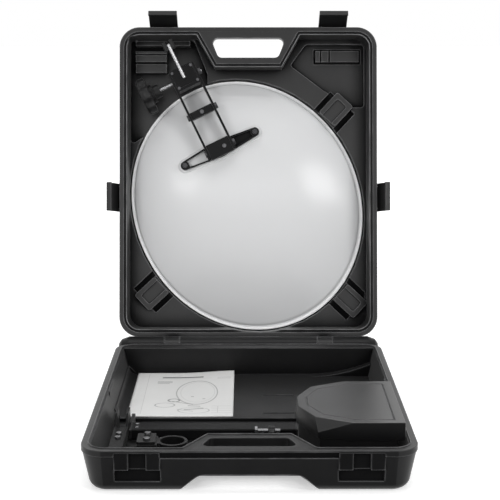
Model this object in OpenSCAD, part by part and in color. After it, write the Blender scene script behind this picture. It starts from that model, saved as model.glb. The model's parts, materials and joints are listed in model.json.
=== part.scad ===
// Portable satellite dish antenna, stowed in its open carrying case.
// The origin is the centre of the case's underside. X runs to the right, Y to the hinge and Z up.

/* [Reflector] */
// Radius of the reflector, seen along its beam
dish_r = 183.5; // [160:0.5:220]
// Focal length of the paraboloid
dish_focal = 199; // [170:1:240]
// Distance from the paraboloid's axis to the middle of the reflector
dish_offset = 205; // [195:1:240]
// Thickness of the reflector's sheet
dish_t = 1.2; // [0.8:0.1:2.5]
// Width of the band that stiffens the reflector's edge
edge_w = 3; // [2:0.5:6]
// Height of that band
edge_h = 6; // [4:0.5:10]
// Height of the pad pressed into the reflector under the bracket's foot
pad_h = 1.5; // [0.5:0.25:2]
// Turn of the reflector's long axis, to the left of upright
dish_turn = 26; // [15:1:35]
// Sideways place of the reflector in the lid
dish_x = -2; // [-5:0.5:5]

/* [Case] */
// Height of the lower half
base_h = 56; // [54:1:70]
// Height of the upper half
lid_h = 57; // [55:1:80]
// Radius of the case's corners, seen from above
corner_r = 32; // [31:1:45]
// Room from the reflector's widest point to the case's outer edge
side_land = 15; // [14:0.5:30]
// Room from the reflector's lowest point to the hinge edge
hinge_land = 9; // [9:0.5:20]
// Depth of the handle zone, from the reflector's top to the front edge
handle_zone = 80; // [78:1:100]
// Width of the flat rim
rim_w = 12; // [11:0.5:13]
// Height of the upright band along the rim
band_h = 8; // [6:0.5:10]
// How far the lower half's wall stands back under its band
base_step = 1.25; // [1:0.25:4]
// How far the lower half's wall leans in
base_draft = 7; // [4:0.5:9]
// Radius of the lower half's bottom edge
base_round = 15; // [8:1:16]
// How far the upper half's wall stands back behind its band
lid_step = 1.5; // [1:0.25:2.5]
// How far the upper half's wall leans in
lid_draft = 3; // [1:0.5:4]
// Radius of the upper half's back edge
lid_round = 9; // [6:1:12]
// How far the tray's walls lean in
tray_draft = 10; // [8:0.5:11]
// How far the lid's inner walls lean in
lid_inner_draft = 2; // [1:0.5:5]
// Thickness of the upper half's floor under its deepest hollow
lid_skin = 6; // [5:0.5:9]
// Thickness of the lower half's floor under its deepest hollow
base_skin = 9; // [6:0.5:10]
// Width of the tongue on the lower rim
tongue_w = 1.6; // [1.2:0.1:2]
// Height of that tongue
tongue_h = 1.6; // [1:0.1:2]

/* [Handle] */
// Half the length of the finger hole on its outer side
grip_outer = 60; // [50:1:66]
// Half the length of the finger hole on its inner side
grip_inner = 47.5; // [40:0.5:52]
// Width of the finger hole
grip_w = 31; // [26:1:34]
// Width of the bar that the hand closes round
grip_bar = 17.5; // [15:0.5:20]
// Flat land between the finger hole and the hollow inside
grip_land = 15; // [12:1:20]
// How far the arch under the bar is cut up
arch_h = 24.5; // [16:0.5:26]
// How much wider the arch is at its foot than at its top, on each side
arch_flare = 44; // [30:1:46]
// How steeply the underside falls away behind the arch, in degrees
arch_lean = 20.5; // [18:0.5:24]

/* [Hinge] */
// Distance of the hinge axis behind the rear edge
hinge_back = 16; // [15:0.5:20]
// Depth of the hinge axis under the rim
hinge_drop = 10.9; // [10:0.1:14]
// Opening angle of the lid
lid_open = 102; // [95:0.5:110]
// Half the thickness of the arm that carries the lid's knuckle
knuckle_r = 6.5; // [5.5:0.5:8]
// Radius of the hinge pins
hinge_pin_r = 2.5; // [2:0.25:3.5]
// Distance of each hinge from the case's side
hinge_side = 85; // [70:1:110]
// Width of the lid's knuckle
knuckle_w = 24; // [18:1:40]
// How deep each hinge pin sits in the roll beside the lid's knuckle
pin_hold = 14; // [10:1:20]
// Radius of the roll along the rear edge that the pins sit in
roll_r = 17.5; // [14:0.25:18]

/* [Latches] */
// Width of a latch
latch_w = 45; // [36:1:50]
// Thickness of a latch's plate
latch_t = 3; // [2.5:0.25:3.5]
// Length of a latch from its pivot to the tip of its hook
latch_reach = 43; // [38:0.5:44]
// Length of a latch's hook
hook_l = 5; // [4:0.5:6]
// Thickness of a latch's hook
hook_t = 3.4; // [2.5:0.1:4]
// Angle that the front latches stand open
front_open = 25; // [5:1:120]
// Angle that the side latches stand open
side_open = 20; // [5:1:120]
// Distance of each front latch from the case's side
latch_side = 70; // [66:1:76]
// Distance of the side latches from the hinge edge
latch_from_hinge = 222; // [180:1:260]
// Radius of the latch pins
latch_pin_r = 1.5; // [1:0.1:2]
// Width of the slot in the catch that a hook goes under
catch_w = 21; // [16:1:28]

/* [Bracket] */
// Distance of the bracket's foot from the reflector's upper end
foot_in = 107.5; // [98:0.5:114]
// Distance between the two bolts that hold the foot
foot_span = 124; // [110:1:130]
// Radius of the foot's ends
foot_end_r = 7; // [6:0.5:9]
// Width of the foot at its middle
foot_mid_w = 27; // [24:0.5:32]
// Height of the foot above the reflector's sheet
foot_h = 9.5; // [8:0.25:13]
// Distance between the arms' inner faces
arm_gap = 38.5; // [34:0.5:42]
// Thickness of an arm
arm_t = 3.5; // [2:0.25:4]
// Height of an arm's bar
arm_h = 16; // [13:0.5:18]
// Distance of the spacer from the reflector's upper end
spacer_in = 42.5; // [32:0.5:56]
// Distance of the tilt axis outside the reflector's upper end
pivot_out = 19.5; // [19:0.5:24]
// Depth of the tilt axis under the foot's top
pivot_drop = 7; // [4:0.5:8]
// Radius of the tilt axle
axle_r = 3; // [2.5:0.25:3.5]

/* [Mast clamp] */
// Length of the clamp's block
block_l = 36; // [32:1:40]
// Height of the clamp's block
block_h = 24; // [20:1:26]
// Thickness of the clamp's cover plate
cover_t = 2.5; // [2:0.25:4]
// Screw spacing across the cover plate
screw_dx = 32.5; // [28:0.5:32.5]
// Screw spacing along the cover plate
screw_dy = 26; // [22:0.5:27]
// Radius of the clamp's rod
rod_r = 3.25; // [2.5:0.25:3.5]
// Length of the clamp's rod
rod_l = 60; // [56:0.5:66]
// Sideways place of the rod
rod_x = -1.5; // [-4:0.25:4]
// Width of the sliding jaw
jaw_w = 19; // [15:0.5:20]
// Length of the sliding jaw
jaw_l = 15; // [12:0.5:16]
// Radius of the tilt knob
knob_r = 31; // [24:0.5:32]
// Thickness of the knob's wheel
knob_t = 15.5; // [14:0.5:18]
// Length of the knob's hub
knob_hub_l = 16.5; // [10:0.5:17]
// Free length of the axle between the arm and the knob
knob_gap = 22; // [16:0.5:24]

/* [Accessory box] */
// Length of the box, from its blunt end to the tray's wall
box_l = 120; // [110:1:124]
// Width of the box
box_w = 176; // [160:1:180]
// Height of the box's tub
tub_h = 46; // [42:1:46]
// Height of the upright edge of the box's cover
cover_edge = 8; // [6:0.5:10]
// Height of the whole cover
cover_h = 23; // [18:0.5:23]
// How far the cover reaches past the tub toward the case's side
cover_over = 9; // [4:0.5:10]
// How far the cover stands out round the tub
cover_lip = 3.5; // [2:0.25:5]
// Wall thickness of the box
box_t = 2; // [1.5:0.25:3]
// Distance of the box from the front edge
box_from_front = 39; // [36:1:44]
// Width of the blunt end of the box
blunt_w = 40; // [30:1:50]

/* [Tray items] */
// Width of the booklet, which is an A5 sheet
booklet_w = 148; // [105:1:148]
// Height of the booklet's pages
booklet_d = 210; // [148:1:210]
// Thickness of the booklet
booklet_t = 2.4; // [1:0.1:4]
// Length of the feed arm
feed_l = 220; // [180:1:225]
// Width of the feed arm's tube
feed_w = 30; // [24:1:34]
// Height of the feed arm's tube
feed_h = 15; // [12:1:18]
// Wall of the feed arm's tube
feed_t = 1.5; // [1:0.25:2.5]
// Diameter of the neck that the feed clamp holds
neck_d = 31.6; // [28:0.2:34]
// Height of the feed clamp's ring
ring_h = 12; // [10:0.5:20]
// Wall of the feed clamp's ring
ring_t = 4; // [3.5:0.25:5.5]
// Length of the rail bracket
rail_l = 196; // [150:1:198]
// Width of the rail bracket
rail_w = 18; // [14:1:20]

/* [Clearances] */
// Gap between the two rims when the case is shut
rim_gap = 0.2; // [0.1:0.1:1]
// Radial play of pins and axles
play = 0.05; // [0.02:0.01:0.1]
// Side play of moving pieces
slack = 0.3; // [0.2:0.05:0.6]
// Gap where a piece rests on a curved or moulded seat
seat = 0.3; // [0.2:0.05:0.5]
// Gap round the reflector in its hollow
nest = 2; // [1.5:0.5:2.5]

/* [Hidden] */
$fn = 48;

// Colours of the finishes
black_plastic = [0.09, 0.09, 0.095];
black_paint = [0.05, 0.05, 0.055];
dish_grey = [0.82, 0.82, 0.83];
zinc = [0.75, 0.76, 0.78];
paper = [0.9, 0.9, 0.89];

// Reflector: an offset cut of a paraboloid has a flat, oval edge
dish_tilt = atan(dish_offset / (2 * dish_focal));
dish_long = dish_r / cos(dish_tilt);
dish_half_w = norm([dish_long * sin(dish_turn), dish_r * cos(dish_turn)]);
dish_half_h = norm([dish_long * cos(dish_turn), dish_r * sin(dish_turn)]);
rim_level = (pow(dish_r, 2) + pow(dish_offset, 2)) / (4 * dish_focal);
dish_rings = 18;
dish_band = dish_r - edge_w;

// Height of the reflector's sheet over the plane of its edge, on its long axis at y
function sheet_u(y) =
    let (k = sin(dish_tilt) / (4 * dish_focal), b = 1 / cos(dish_tilt))
    (sqrt(b * b - 4 * k * (y - k * dish_r * dish_r)) - b) / (2 * k);
function sheet_h(y) = cos(dish_tilt) * (dish_r * dish_r - pow(sheet_u(y), 2)) / (4 * dish_focal);

// Case sizes follow the reflector and the pieces that lie in the tray
tray_side = rim_w + tray_draft;
feed_side = 26;
feed_plug = 2.5;
feed_stop = 6;
nose_room = 12;
feed_need = feed_side + feed_l + feed_plug + slack + feed_stop + 2 + box_l - nose_room;
case_w = max(2 * (dish_half_w + side_land + abs(dish_x)), feed_need + 2 * tray_side);
rear_land = 28;
booklet_gap = 0.7;
channel_land = 4;
rail_back = 26;
rail_end = 6;
tray_need = rear_land + booklet_gap + booklet_d + channel_land + rail_back + rail_l + rail_end + tray_side;
dish_y = hinge_land + dish_half_h;
case_d = max(dish_y + dish_half_h + handle_zone, tray_need);
recess_d = lid_h - lid_skin;
shelf_d = recess_d - 17;
dish_z = seat + edge_h / 2 - recess_d;
hinge_y = case_d / 2 + hinge_back;
hinge_z = base_h - hinge_drop;
tray_z = base_skin + 5;
channel_z = base_skin;
rear_wall_y = case_d / 2 - rear_land;
channel_y = rear_wall_y - booklet_gap - booklet_d - channel_land;
inner_x = case_w / 2 - tray_side;
lid_x = case_w / 2 - rim_w - lid_inner_draft;
ring_d = rim_w - 3;
hinge_x = case_w / 2 - hinge_side;
latch_x = case_w / 2 - latch_side;

// Handle outline, measured from the front edge
hole_y0 = grip_bar;
hole_y1 = grip_bar + grip_w;
land_y = hole_y1 + grip_land;
land_slope = (grip_outer - grip_inner) / grip_w * 1.4;
land_inner = grip_inner + 6;

// Latches, with the pivot measured from the lid's rim edge
latch_gap = 0.5;
latch_out = latch_gap + latch_t / 2;
latch_in = 14;
latch_barrel_r = 3.5;
latch_lug_w = 5;
latch_mid = latch_w - 2 * (latch_lug_w + slack);
hook_from = latch_reach - latch_in - hook_t;
pocket_w = latch_w + 10;
pocket_t = 11;
pocket_lip = 3.6;
pocket_top = base_h - pocket_lip;
pocket_z = 15;
bump_t = 3;
catch_in = 1.2;

// Bracket and clamp, in the reflector's own frame
foot_at = dish_long - foot_in;
spacer_at = dish_long - spacer_in;
pivot_at = dish_long + pivot_out;
foot_top = sheet_h(foot_at) + foot_h;
pivot_h = foot_top - pivot_drop;
arm_out = arm_gap / 2 + arm_t;
arm_end = pivot_at + block_l / 2 - 2;
block_top = pivot_h + block_h / 2;
rod_from = pivot_at - 2;
rod_end = 9;
jaw_from = rod_from + rod_l - rod_end;
bolt_r = 3;
nut_r = 5.8;
knob_in = arm_out + knob_gap;
axle_in = knob_hub_l + 4;

// Tray items
box_x1 = inner_x - 1;
box_x0 = box_x1 - box_l;
box_y = box_from_front + box_w / 2 - case_d / 2;
box_z = channel_z;
feed_x0 = -inner_x + feed_side;
feed_y = channel_y - 62;
feed_z = channel_z;
clamp_r = neck_d / 2 + ring_t;
clamp_x = feed_x0 + 57;
clamp_y = feed_y - feed_w / 2 - clamp_r - 15;
rail_x = -inner_x + 3;
rail_y1 = channel_y - rail_back;
wing_x = 11;
wing_y = feed_y - feed_w / 2 - 15;
wing_z = channel_z + 18.5;
booklet_x = -inner_x + 13 + booklet_w / 2;
booklet_y = channel_y + channel_land + booklet_d / 2;
horn_r = 24;
horn_l = 40;
lnb_back = 50;
lnb_front = 6;
lnb_x = box_x0 + 74;
lnb_z = box_z + box_t;

// Frames that pieces are placed in

// The open lid: X to the right, Y up from the hinge edge, Z out of the rim plane
module in_lid() {
    translate([0, hinge_y, hinge_z])
        rotate([180 - lid_open, 0, 0])
            translate([0, hinge_back, -hinge_drop - rim_gap])
                children();
}

// The reflector: Y along its long axis, Z out of its back, the edge in the plane Z = 0
module in_dish() {
    in_lid()
        translate([dish_x, dish_y, dish_z])
            rotate(dish_turn)
                children();
}

// The paraboloid: Z along the beam, the vertex at the origin
module in_beam() {
    rotate(-90)
        rotate([180, -dish_tilt, 0])
            translate([-dish_offset, 0, -rim_level])
                children();
}

// A prism whose outline is drawn in Y and Z, standing across X
module across(x, w) {
    translate([x, 0, 0])
        rotate([90, 0, 90])
            linear_extrude(w)
                children();
}

module mirrored() {
    children();
    mirror([1, 0, 0])
        children();
}

module along_x(x, l, r) {
    translate([x, 0, 0])
        rotate([0, 90, 0])
            cylinder(h = l, r = r);
}

module rounded_rect(w, d, r) {
    square([w - 2 * r, d], center = true);
    square([w, d - 2 * r], center = true);
    for (sx = [-1, 1], sy = [-1, 1])
        translate([sx * (w / 2 - r), sy * (d / 2 - r)])
            circle(r);
}

module softened(r) {
    offset(r, $fn = 24)
        offset(delta = -r)
            children();
}

// Case halves, drawn with the outer face at Z = 0, the rim at Z = h and the handle at -Y

// Corner post with a leaning side and a round foot
module corner_post(r, h, draft, round) {
    foot = r - draft - round;
    steps = 5;
    rotate_extrude($fn = 32)
        polygon([
            [0, 0],
            for (i = [0:steps])
                [foot + round * sin(90 * i / steps), round * (1 - cos(90 * i / steps))],
            [r, h],
            [0, h]
        ]);
}

module outer_body(h, step, draft, round) {
    px = case_w / 2 - corner_r;
    py = case_d / 2 - corner_r;
    hull()
        for (sx = [-1, 1], sy = [-1, 1])
            translate([sx * px, sy * py, 0])
                corner_post(corner_r - step, h - band_h, draft, round);
    translate([0, 0, h - band_h])
        linear_extrude(band_h)
            rounded_rect(case_w, case_d, corner_r);
}

// Land round the finger hole, grown outward by g
module handle_land(g) {
    lean = norm([1, land_slope]);
    foot = land_inner + g * (lean - land_slope);
    reach = land_y + g + corner_r;
    y0 = -case_d / 2 - corner_r;
    polygon([
        [-foot - reach * land_slope, y0],
        [foot + reach * land_slope, y0],
        [foot, land_y + g - case_d / 2],
        [-foot, land_y + g - case_d / 2]
    ]);
}

// Outline of the finger hole, grown by g
module finger_hole(g) {
    y = -case_d / 2;
    softened(8)
        polygon([
            [-grip_outer - g, y + hole_y0 - g],
            [grip_outer + g, y + hole_y0 - g],
            [grip_inner + g, y + hole_y1 + g],
            [-grip_inner - g, y + hole_y1 + g]
        ]);
}

// The finger hole through a half of height h, wider behind a lip at the rim
module grip_cut(h) {
    lip = 12;
    translate([0, 0, -1])
        linear_extrude(h + 5)
            finger_hole(0);
    translate([0, 0, -1])
        linear_extrude(h - lip + 1)
            finger_hole(5.5);
}

// Groove under the rim along the front of the handle
module front_groove() {
    w = 2 * (latch_x - pocket_w / 2);
    translate([-w / 2, -case_d / 2 - 1, base_h - band_h - 1.5])
        cube([w, 5, band_h - 1]);
}

// The arch opens the front under the bar, and its roof falls toward the rear by lean
module handle_arch(h, lean) {
    top = land_inner;
    foot = top + arch_flare;
    start = 6;
    reach = lean > 0 ? h / sin(lean) + 4 : hole_y0 + 1 - start;
    rise = h * cos(lean) / 2;
    translate([0, start - case_d / 2, 0])
        rotate([-lean, 0, 0])
            translate([0, reach, 0])
                rotate([90, 0, 0])
                    linear_extrude(reach + start + 1)
                        polygon([
                            [-foot, -12],
                            for (i = [0:8])
                                [-foot + arch_flare * i / 8, rise * (1 - cos(180 * i / 8))],
                            for (i = [8:-1:0])
                                [foot - arch_flare * i / 8, rise * (1 - cos(180 * i / 8))],
                            [foot, -12]
                        ]);
}

// The hollow inside the rim, between two levels
module hollow(z0, z1, draft) {
    w1 = case_w - 2 * rim_w;
    d1 = case_d - 2 * rim_w;
    difference() {
        hull() {
            translate([0, 0, z0])
                linear_extrude(0.1)
                    rounded_rect(w1 - 2 * draft, d1 - 2 * draft, corner_r - rim_w - draft + 4, $fn = 32);
            translate([0, 0, z1])
                linear_extrude(0.1)
                    rounded_rect(w1, d1, corner_r - rim_w, $fn = 32);
        }
        translate([0, 0, z0 - 1])
            linear_extrude(z1 - z0 + 2)
                handle_land(0);
    }
}

// The hollow's outline at the rim, grown outward by e
module rim_outline(e) {
    d = rim_w - e;
    difference() {
        rounded_rect(case_w - 2 * d, case_d - 2 * d, corner_r - d);
        handle_land(-e);
    }
}

// A line along the rim and the handle's land, set in by d from the outer edge
module rim_ring(d, w) {
    difference() {
        softened(4)
            rim_outline(rim_w - d);
        softened(4)
            rim_outline(rim_w - d - w);
    }
}

// Recess in the outer wall that a shut latch lies over, Y pointing into the wall
module latch_pocket() {
    translate([-pocket_w / 2, -1, pocket_z])
        cube([pocket_w, pocket_t + 1, pocket_top - pocket_z]);
}

// Wall that is kept behind a pocket
module latch_bump() {
    translate([-pocket_w / 2 - bump_t, 0, 0])
        cube([pocket_w + 2 * bump_t, pocket_t + bump_t, base_h + 1]);
}

// Catch plate inside a pocket, slotted in the middle, which the hook goes under
module latch_catch() {
    z = base_h + rim_gap - hook_from + slack;
    h = pocket_top - z + 1;
    difference() {
        translate([-pocket_w / 2 - 0.5, catch_in, z])
            cube([pocket_w + 1, pocket_t, h]);
        translate([-catch_w / 2, 0, z - 1])
            cube([catch_w, catch_in + 5, h]);
    }
}

// Places children at the base's latch pockets, Y pointing into the wall
module at_base_latches() {
    for (s = [-1, 1]) {
        translate([s * latch_x, -case_d / 2, 0])
            children();
        translate([s * case_w / 2, case_d / 2 - latch_from_hinge, 0])
            rotate(s * 90)
                children();
    }
}

// Roll along the rear edge, open where the lid's knuckles turn
module hinge_roll() {
    half = case_w / 2 - roll_r;
    web = case_w / 2 - corner_r + 14;
    slot = knuckle_w + 2 * slack;
    difference() {
        union() {
            translate([0, hinge_y, hinge_z]) {
                along_x(-half, 2 * half, roll_r);
                mirrored()
                    translate([half - 0.1, 0, 0])
                        rotate([0, 90, 0]) {
                            cylinder(h = 0.7 * roll_r, r1 = roll_r, r2 = 0.75 * roll_r);
                            translate([0, 0, 0.7 * roll_r - 0.1])
                                cylinder(h = 0.25 * roll_r, r1 = 0.75 * roll_r, r2 = 0.4 * roll_r);
                        }
            }
            across(-web, 2 * web)
                polygon([
                    [case_d / 2 - 8, hinge_z - 14], [hinge_y, hinge_z - roll_r + 1], [hinge_y, hinge_z],
                    [case_d / 2 - 8, base_h - 4]
                ]);
        }
        mirrored()
            translate([hinge_x, 0, 0]) {
                translate([-slot / 2, case_d / 2 + 0.4, 0])
                    cube([slot, 4 * roll_r, base_h + 2 * roll_r]);
                translate([0, hinge_y, hinge_z]) {
                    along_x(-slot / 2, slot, roll_r + 0.5);
                    along_x(-slot / 2 - pin_hold - 0.5, case_w, hinge_pin_r + play);
                }
            }
    }
}

// Floor that curves up to the tray's right wall at the rear
module tray_ramp() {
    w = 100;
    h = 22;
    steps = 8;
    translate([inner_x + tray_draft - w, rear_wall_y + 1, tray_z - 1])
        rotate([90, 0, 0])
            linear_extrude(14)
                polygon([[0, -1], [w, -1], for (i = [steps:-1:0]) [w * i / steps, h * pow(i / steps, 2) + 1]]);
}

// Round between the tray's left wall and its floor
module tray_fillet() {
    r = 13;
    steps = 6;
    translate([-inner_x - 2, rear_wall_y + 1, tray_z - 1])
        rotate([90, 0, 0])
            linear_extrude(rear_wall_y - channel_y)
                polygon([
                    [-tray_draft, -1], [r, -1],
                    for (i = [0:steps])
                        [r - r * sin(90 * i / steps), r + 1 - r * cos(90 * i / steps)],
                    [-tray_draft, r + 1]
                ]);
}

module tray_hollow() {
    difference() {
        hollow(channel_z, base_h, tray_draft);
        at_base_latches()
            latch_bump();
        translate([-case_w / 2, channel_y, channel_z - 1])
            cube([case_w, case_d, tray_z - channel_z + 1]);
        translate([-case_w / 2, rear_wall_y, channel_z - 1])
            cube([case_w, case_d, base_h]);
        tray_ramp();
        tray_fillet();
        // Ribs that keep the rail bracket and the feed arm in their places
        translate([rail_x + rail_w + seat, rail_y1 - 18, channel_z - 1])
            cube([5, 38, 15]);
        translate([feed_x0 + feed_l + feed_plug + slack, feed_y - 14, channel_z - 1])
            cube([feed_stop, 28, 11]);
        // Two posts that carry the wing bolt
        for (x = [4, 25])
            translate([wing_x + x, wing_y - 7, channel_z - 1])
                cube([4, 14, wing_z - channel_z + 1 - 2.5 - seat]);
    }
    // Shallow slot marks on the tray's floor
    for (i = [0, 1])
        translate([20, channel_y + 16 + 84 * i, tray_z - 1.2])
            linear_extrude(3)
                softened(2)
                    square([46, 9]);
}

module case_base() {
    color(black_plastic)
        difference() {
            union() {
                difference() {
                    outer_body(base_h, base_step, base_draft, base_round);
                    at_base_latches()
                        latch_pocket();
                }
                at_base_latches()
                    latch_catch();
                translate([0, 0, base_h - 0.5])
                    linear_extrude(tongue_h + 0.5)
                        rim_ring(ring_d - tongue_w / 2, tongue_w);
                hinge_roll();
            }
            mirrored()
                translate([hinge_x, hinge_y, hinge_z])
                    along_x(-knuckle_w / 2 - slack, knuckle_w + 2 * slack, roll_r + 0.5);
            tray_hollow();
            grip_cut(base_h);
            handle_arch(arch_h, arch_lean);
            front_groove();
        }
}

// The hollow that the reflector lies in, grown by its nest gap
module dish_outline(g) {
    steps = 48;
    rotate(dish_turn)
        polygon([
            for (i = [0:steps - 1])
                [(dish_r + g) * cos(360 * i / steps), (dish_long + g) * sin(360 * i / steps)]
        ]);
}

// Size of the diagonal rests
rest_l = 44;
rest_w = 35;

// Diagonal moulded rest, its length along +X, with a sunk panel on top
module corner_rest() {
    rest_h = 7;
    panel = 8;
    translate([0, 0, -shelf_d - 1])
        difference() {
            linear_extrude(rest_h + 1)
                softened(4)
                    translate([0, -rest_w / 2])
                        square([rest_l, rest_w]);
            translate([0, 0, rest_h - 1])
                linear_extrude(3)
                    softened(3)
                        translate([-panel, panel - rest_w / 2])
                            square([rest_l, rest_w - 2 * panel]);
        }
}

// Where a rest starts: on the line from the reflector's middle at the angle a
function oval_at(a) =
    let (t = a - dish_turn, rx = dish_r + nest + 1, ry = dish_long + nest + 1)
    1 / norm([cos(t) / rx, sin(t) / ry]);

// Slots on both sides of a rest, open toward the reflector
module rest_slots() {
    slot_w = 9;
    for (s = [-1, 1])
        translate([-8, s * (rest_w + slot_w) / 2 - slot_w / 2, -recess_d + 7])
            cube([rest_l + 2, slot_w, recess_d]);
}

module at_rests() {
    for (a = [47, -43, -137])
        translate([dish_x, dish_y, 0])
            rotate(a)
                translate([oval_at(a), 0, 0])
                    children();
}

// Upper left pocket for the knob and the clamp, with level ribs near the top
module clamp_pocket() {
    x0 = -lid_x;
    x1 = x0 + 125;
    top = dish_y + dish_half_h;
    y1 = case_d - rim_w - lid_inner_draft;
    rib_x = x0 + 9;
    ribs = [[16, 24, 88, 24], [33, 37, 50, 22], [39, 50, 50, 18], [53, 67, 50, 14]];
    difference() {
        translate([0, 0, -recess_d])
            linear_extrude(recess_d)
                softened(6)
                    polygon([[x0, top - 106], [x1, top - 22], [x1, top + 10], [x1 - 22, y1], [x0, y1]]);
        for (r = ribs)
            translate([rib_x, case_d - r[1], -recess_d - 1])
                cube([r[2], r[1] - r[0], r[3]]);
    }
}

// Upper right pocket that leaves room for the accessory box, with a ribbed bar in it
module box_pocket() {
    x1 = lid_x;
    y1 = case_d - rim_w - lid_inner_draft - 8;
    bar = [70, 18, 7];
    difference() {
        translate([0, 0, -shelf_d - 8])
            linear_extrude(shelf_d + 8)
                softened(5)
                    polygon([
                        [x1 - 98, y1], [x1 - 123, y1 - 34], [x1 - 70, y1 - 74], [x1 - 27, y1 - 102],
                        [x1 - 4, y1 - 102], [x1 - 4, y1]
                    ]);
        // Bar across the panel
        translate([x1 - 12 - bar.x, y1 - 28, -shelf_d - 9])
            cube(bar);
    }
    // Slot round the bar and two notches across it
    translate([x1 - 12 - bar.x, y1 - 28, -shelf_d - 13]) {
        difference() {
            translate([-3, -3, 0])
                cube([bar.x + 6, bar.y + 6, 6]);
            translate([0, 0, -1])
                cube([bar.x, bar.y, 8]);
        }
        for (x = [7, 21])
            translate([x, -1, 8])
                cube([2.5, bar.y + 2, 6]);
    }
}

module lid_hollow() {
    difference() {
        union() {
            translate([0, case_d / 2, 0])
                rotate(180)
                    hollow(-shelf_d, 0, lid_inner_draft);
            clamp_pocket();
            box_pocket();
            intersection() {
                at_rests()
                    rest_slots();
                translate([0, case_d / 2, -recess_d])
                    linear_extrude(recess_d)
                        rounded_rect(case_w - 2 * rim_w - 10, case_d - 2 * rim_w - 10, corner_r - rim_w - 5);
            }
        }
        at_rests()
            corner_rest();
    }
    translate([dish_x, dish_y, -recess_d])
        linear_extrude(recess_d + 1)
            dish_outline(nest);
}

module lid_hinge_arm() {
    back = -hinge_back - knuckle_r;
    across(-knuckle_w / 2, knuckle_w)
        difference() {
            union() {
                translate([-hinge_back, hinge_drop + rim_gap])
                    circle(roll_r);
                polygon([
                    [back, hinge_drop], [back, -10], [lid_step + 3, -20], [lid_step + 3, -2],
                    [-hinge_back + knuckle_r, -2], [-hinge_back + knuckle_r, hinge_drop]
                ]);
            }
            translate([-hinge_back, hinge_drop + rim_gap])
                circle(hinge_pin_r + play);
        }
}

// Pair of lugs that carry a latch, Y pointing out of the wall
module latch_lugs() {
    mirrored()
        across(latch_w / 2 - latch_lug_w, latch_lug_w)
            difference() {
                union() {
                    translate([latch_out, -latch_in])
                        circle(latch_barrel_r);
                    translate([-lid_step - 2, -latch_in - latch_barrel_r])
                        square([latch_out + lid_step + 2, 2 * latch_barrel_r]);
                }
                translate([latch_out, -latch_in])
                    circle(latch_pin_r + play);
            }
}

// Places children at the lid's latches, X along the edge and Y out of it
module at_lid_latch(side, s) {
    at = side ? [s * case_w / 2, latch_from_hinge, 0] : [s * latch_x, case_d, 0];
    translate(at)
        rotate(side ? -90 * s : 0)
            children();
}

module at_lid_latches() {
    for (side = [false, true], s = [-1, 1])
        at_lid_latch(side, s)
            children();
}

module case_lid() {
    groove = 3.4;
    color(black_plastic)
        in_lid()
            difference() {
                union() {
                    translate([0, case_d / 2, -lid_h])
                        rotate(180)
                            outer_body(lid_h, lid_step, lid_draft, lid_round);
                    for (s = [-1, 1])
                        translate([s * hinge_x, 0, 0])
                            lid_hinge_arm();
                    at_lid_latches()
                        latch_lugs();
                }
                lid_hollow();
                at_lid_latches()
                    translate([0, latch_out, -latch_in])
                        along_x(-latch_mid / 2 - slack, latch_mid + 2 * slack, latch_barrel_r + latch_gap);
                // Groove that takes the tongue, with room for its swing
                translate([0, case_d / 2, 0])
                    rotate(180)
                        translate([0, 0, -tongue_h - 0.8])
                            linear_extrude(tongue_h + 2)
                                rim_ring(ring_d - groove / 2, groove);
                translate([0, case_d / 2, -lid_h])
                    rotate(180) {
                        grip_cut(lid_h);
                        handle_arch(arch_h - 5, 0);
                    }
            }
}

module hinge_pins() {
    l = knuckle_w + 2 * (slack + pin_hold);
    color(zinc)
        for (s = [-1, 1])
            translate([s * hinge_x, hinge_y, hinge_z])
                along_x(-l / 2, l, hinge_pin_r);
}

// A latch, turned open from its shut place over the catch
module latch(open) {
    from = latch_barrel_r + latch_gap;
    color(black_plastic) {
        across(-latch_w / 2, latch_w)
            translate([latch_out, -latch_in])
                rotate(-open) {
                    translate([-latch_t / 2, from])
                        square([latch_t, latch_reach - from]);
                    translate([-latch_t / 2 - hook_l, latch_reach - hook_t])
                        square([hook_l + 1, hook_t]);
                }
        across(-latch_mid / 2, latch_mid)
            translate([latch_out, -latch_in])
                rotate(-open)
                    difference() {
                        union() {
                            circle(latch_barrel_r);
                            translate([-latch_t / 2, 0])
                                square([latch_t, from + 1]);
                        }
                        circle(latch_pin_r + play);
                    }
    }
}

module latch_front_left() {
    in_lid()
        at_lid_latch(false, -1)
            latch(front_open);
}

module latch_front_right() {
    in_lid()
        at_lid_latch(false, 1)
            latch(front_open);
}

module latch_side_left() {
    in_lid()
        at_lid_latch(true, -1)
            latch(side_open);
}

module latch_side_right() {
    in_lid()
        at_lid_latch(true, 1)
            latch(side_open);
}

module latch_pins() {
    l = latch_w;
    color(zinc)
        in_lid()
            at_lid_latches()
                translate([0, latch_out, -latch_in])
                    along_x(-l / 2, l, latch_pin_r);
}

// Antenna

function bowl(r) = pow(r, 2) / (4 * dish_focal);

// A layer of the paraboloid from one level to another, measured along the beam
module bowl_layer(low, high) {
    r0 = dish_offset - dish_r - 4;
    step = 2 * (dish_r + 4) / dish_rings;
    radii = [for (i = [0:dish_rings]) max(r0 + step * i, 0.5)];
    rotate_extrude($fn = 200)
        polygon([
            for (r = radii) [r, bowl(r) + low],
            for (i = [dish_rings:-1:0]) [radii[i], bowl(radii[i]) + high]
        ]);
}

module foot_holes() {
    for (s = [-1, 1])
        translate([s * foot_span / 2, foot_at, 0])
            cylinder(h = foot_top + 20, r = bolt_r + play);
}

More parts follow.
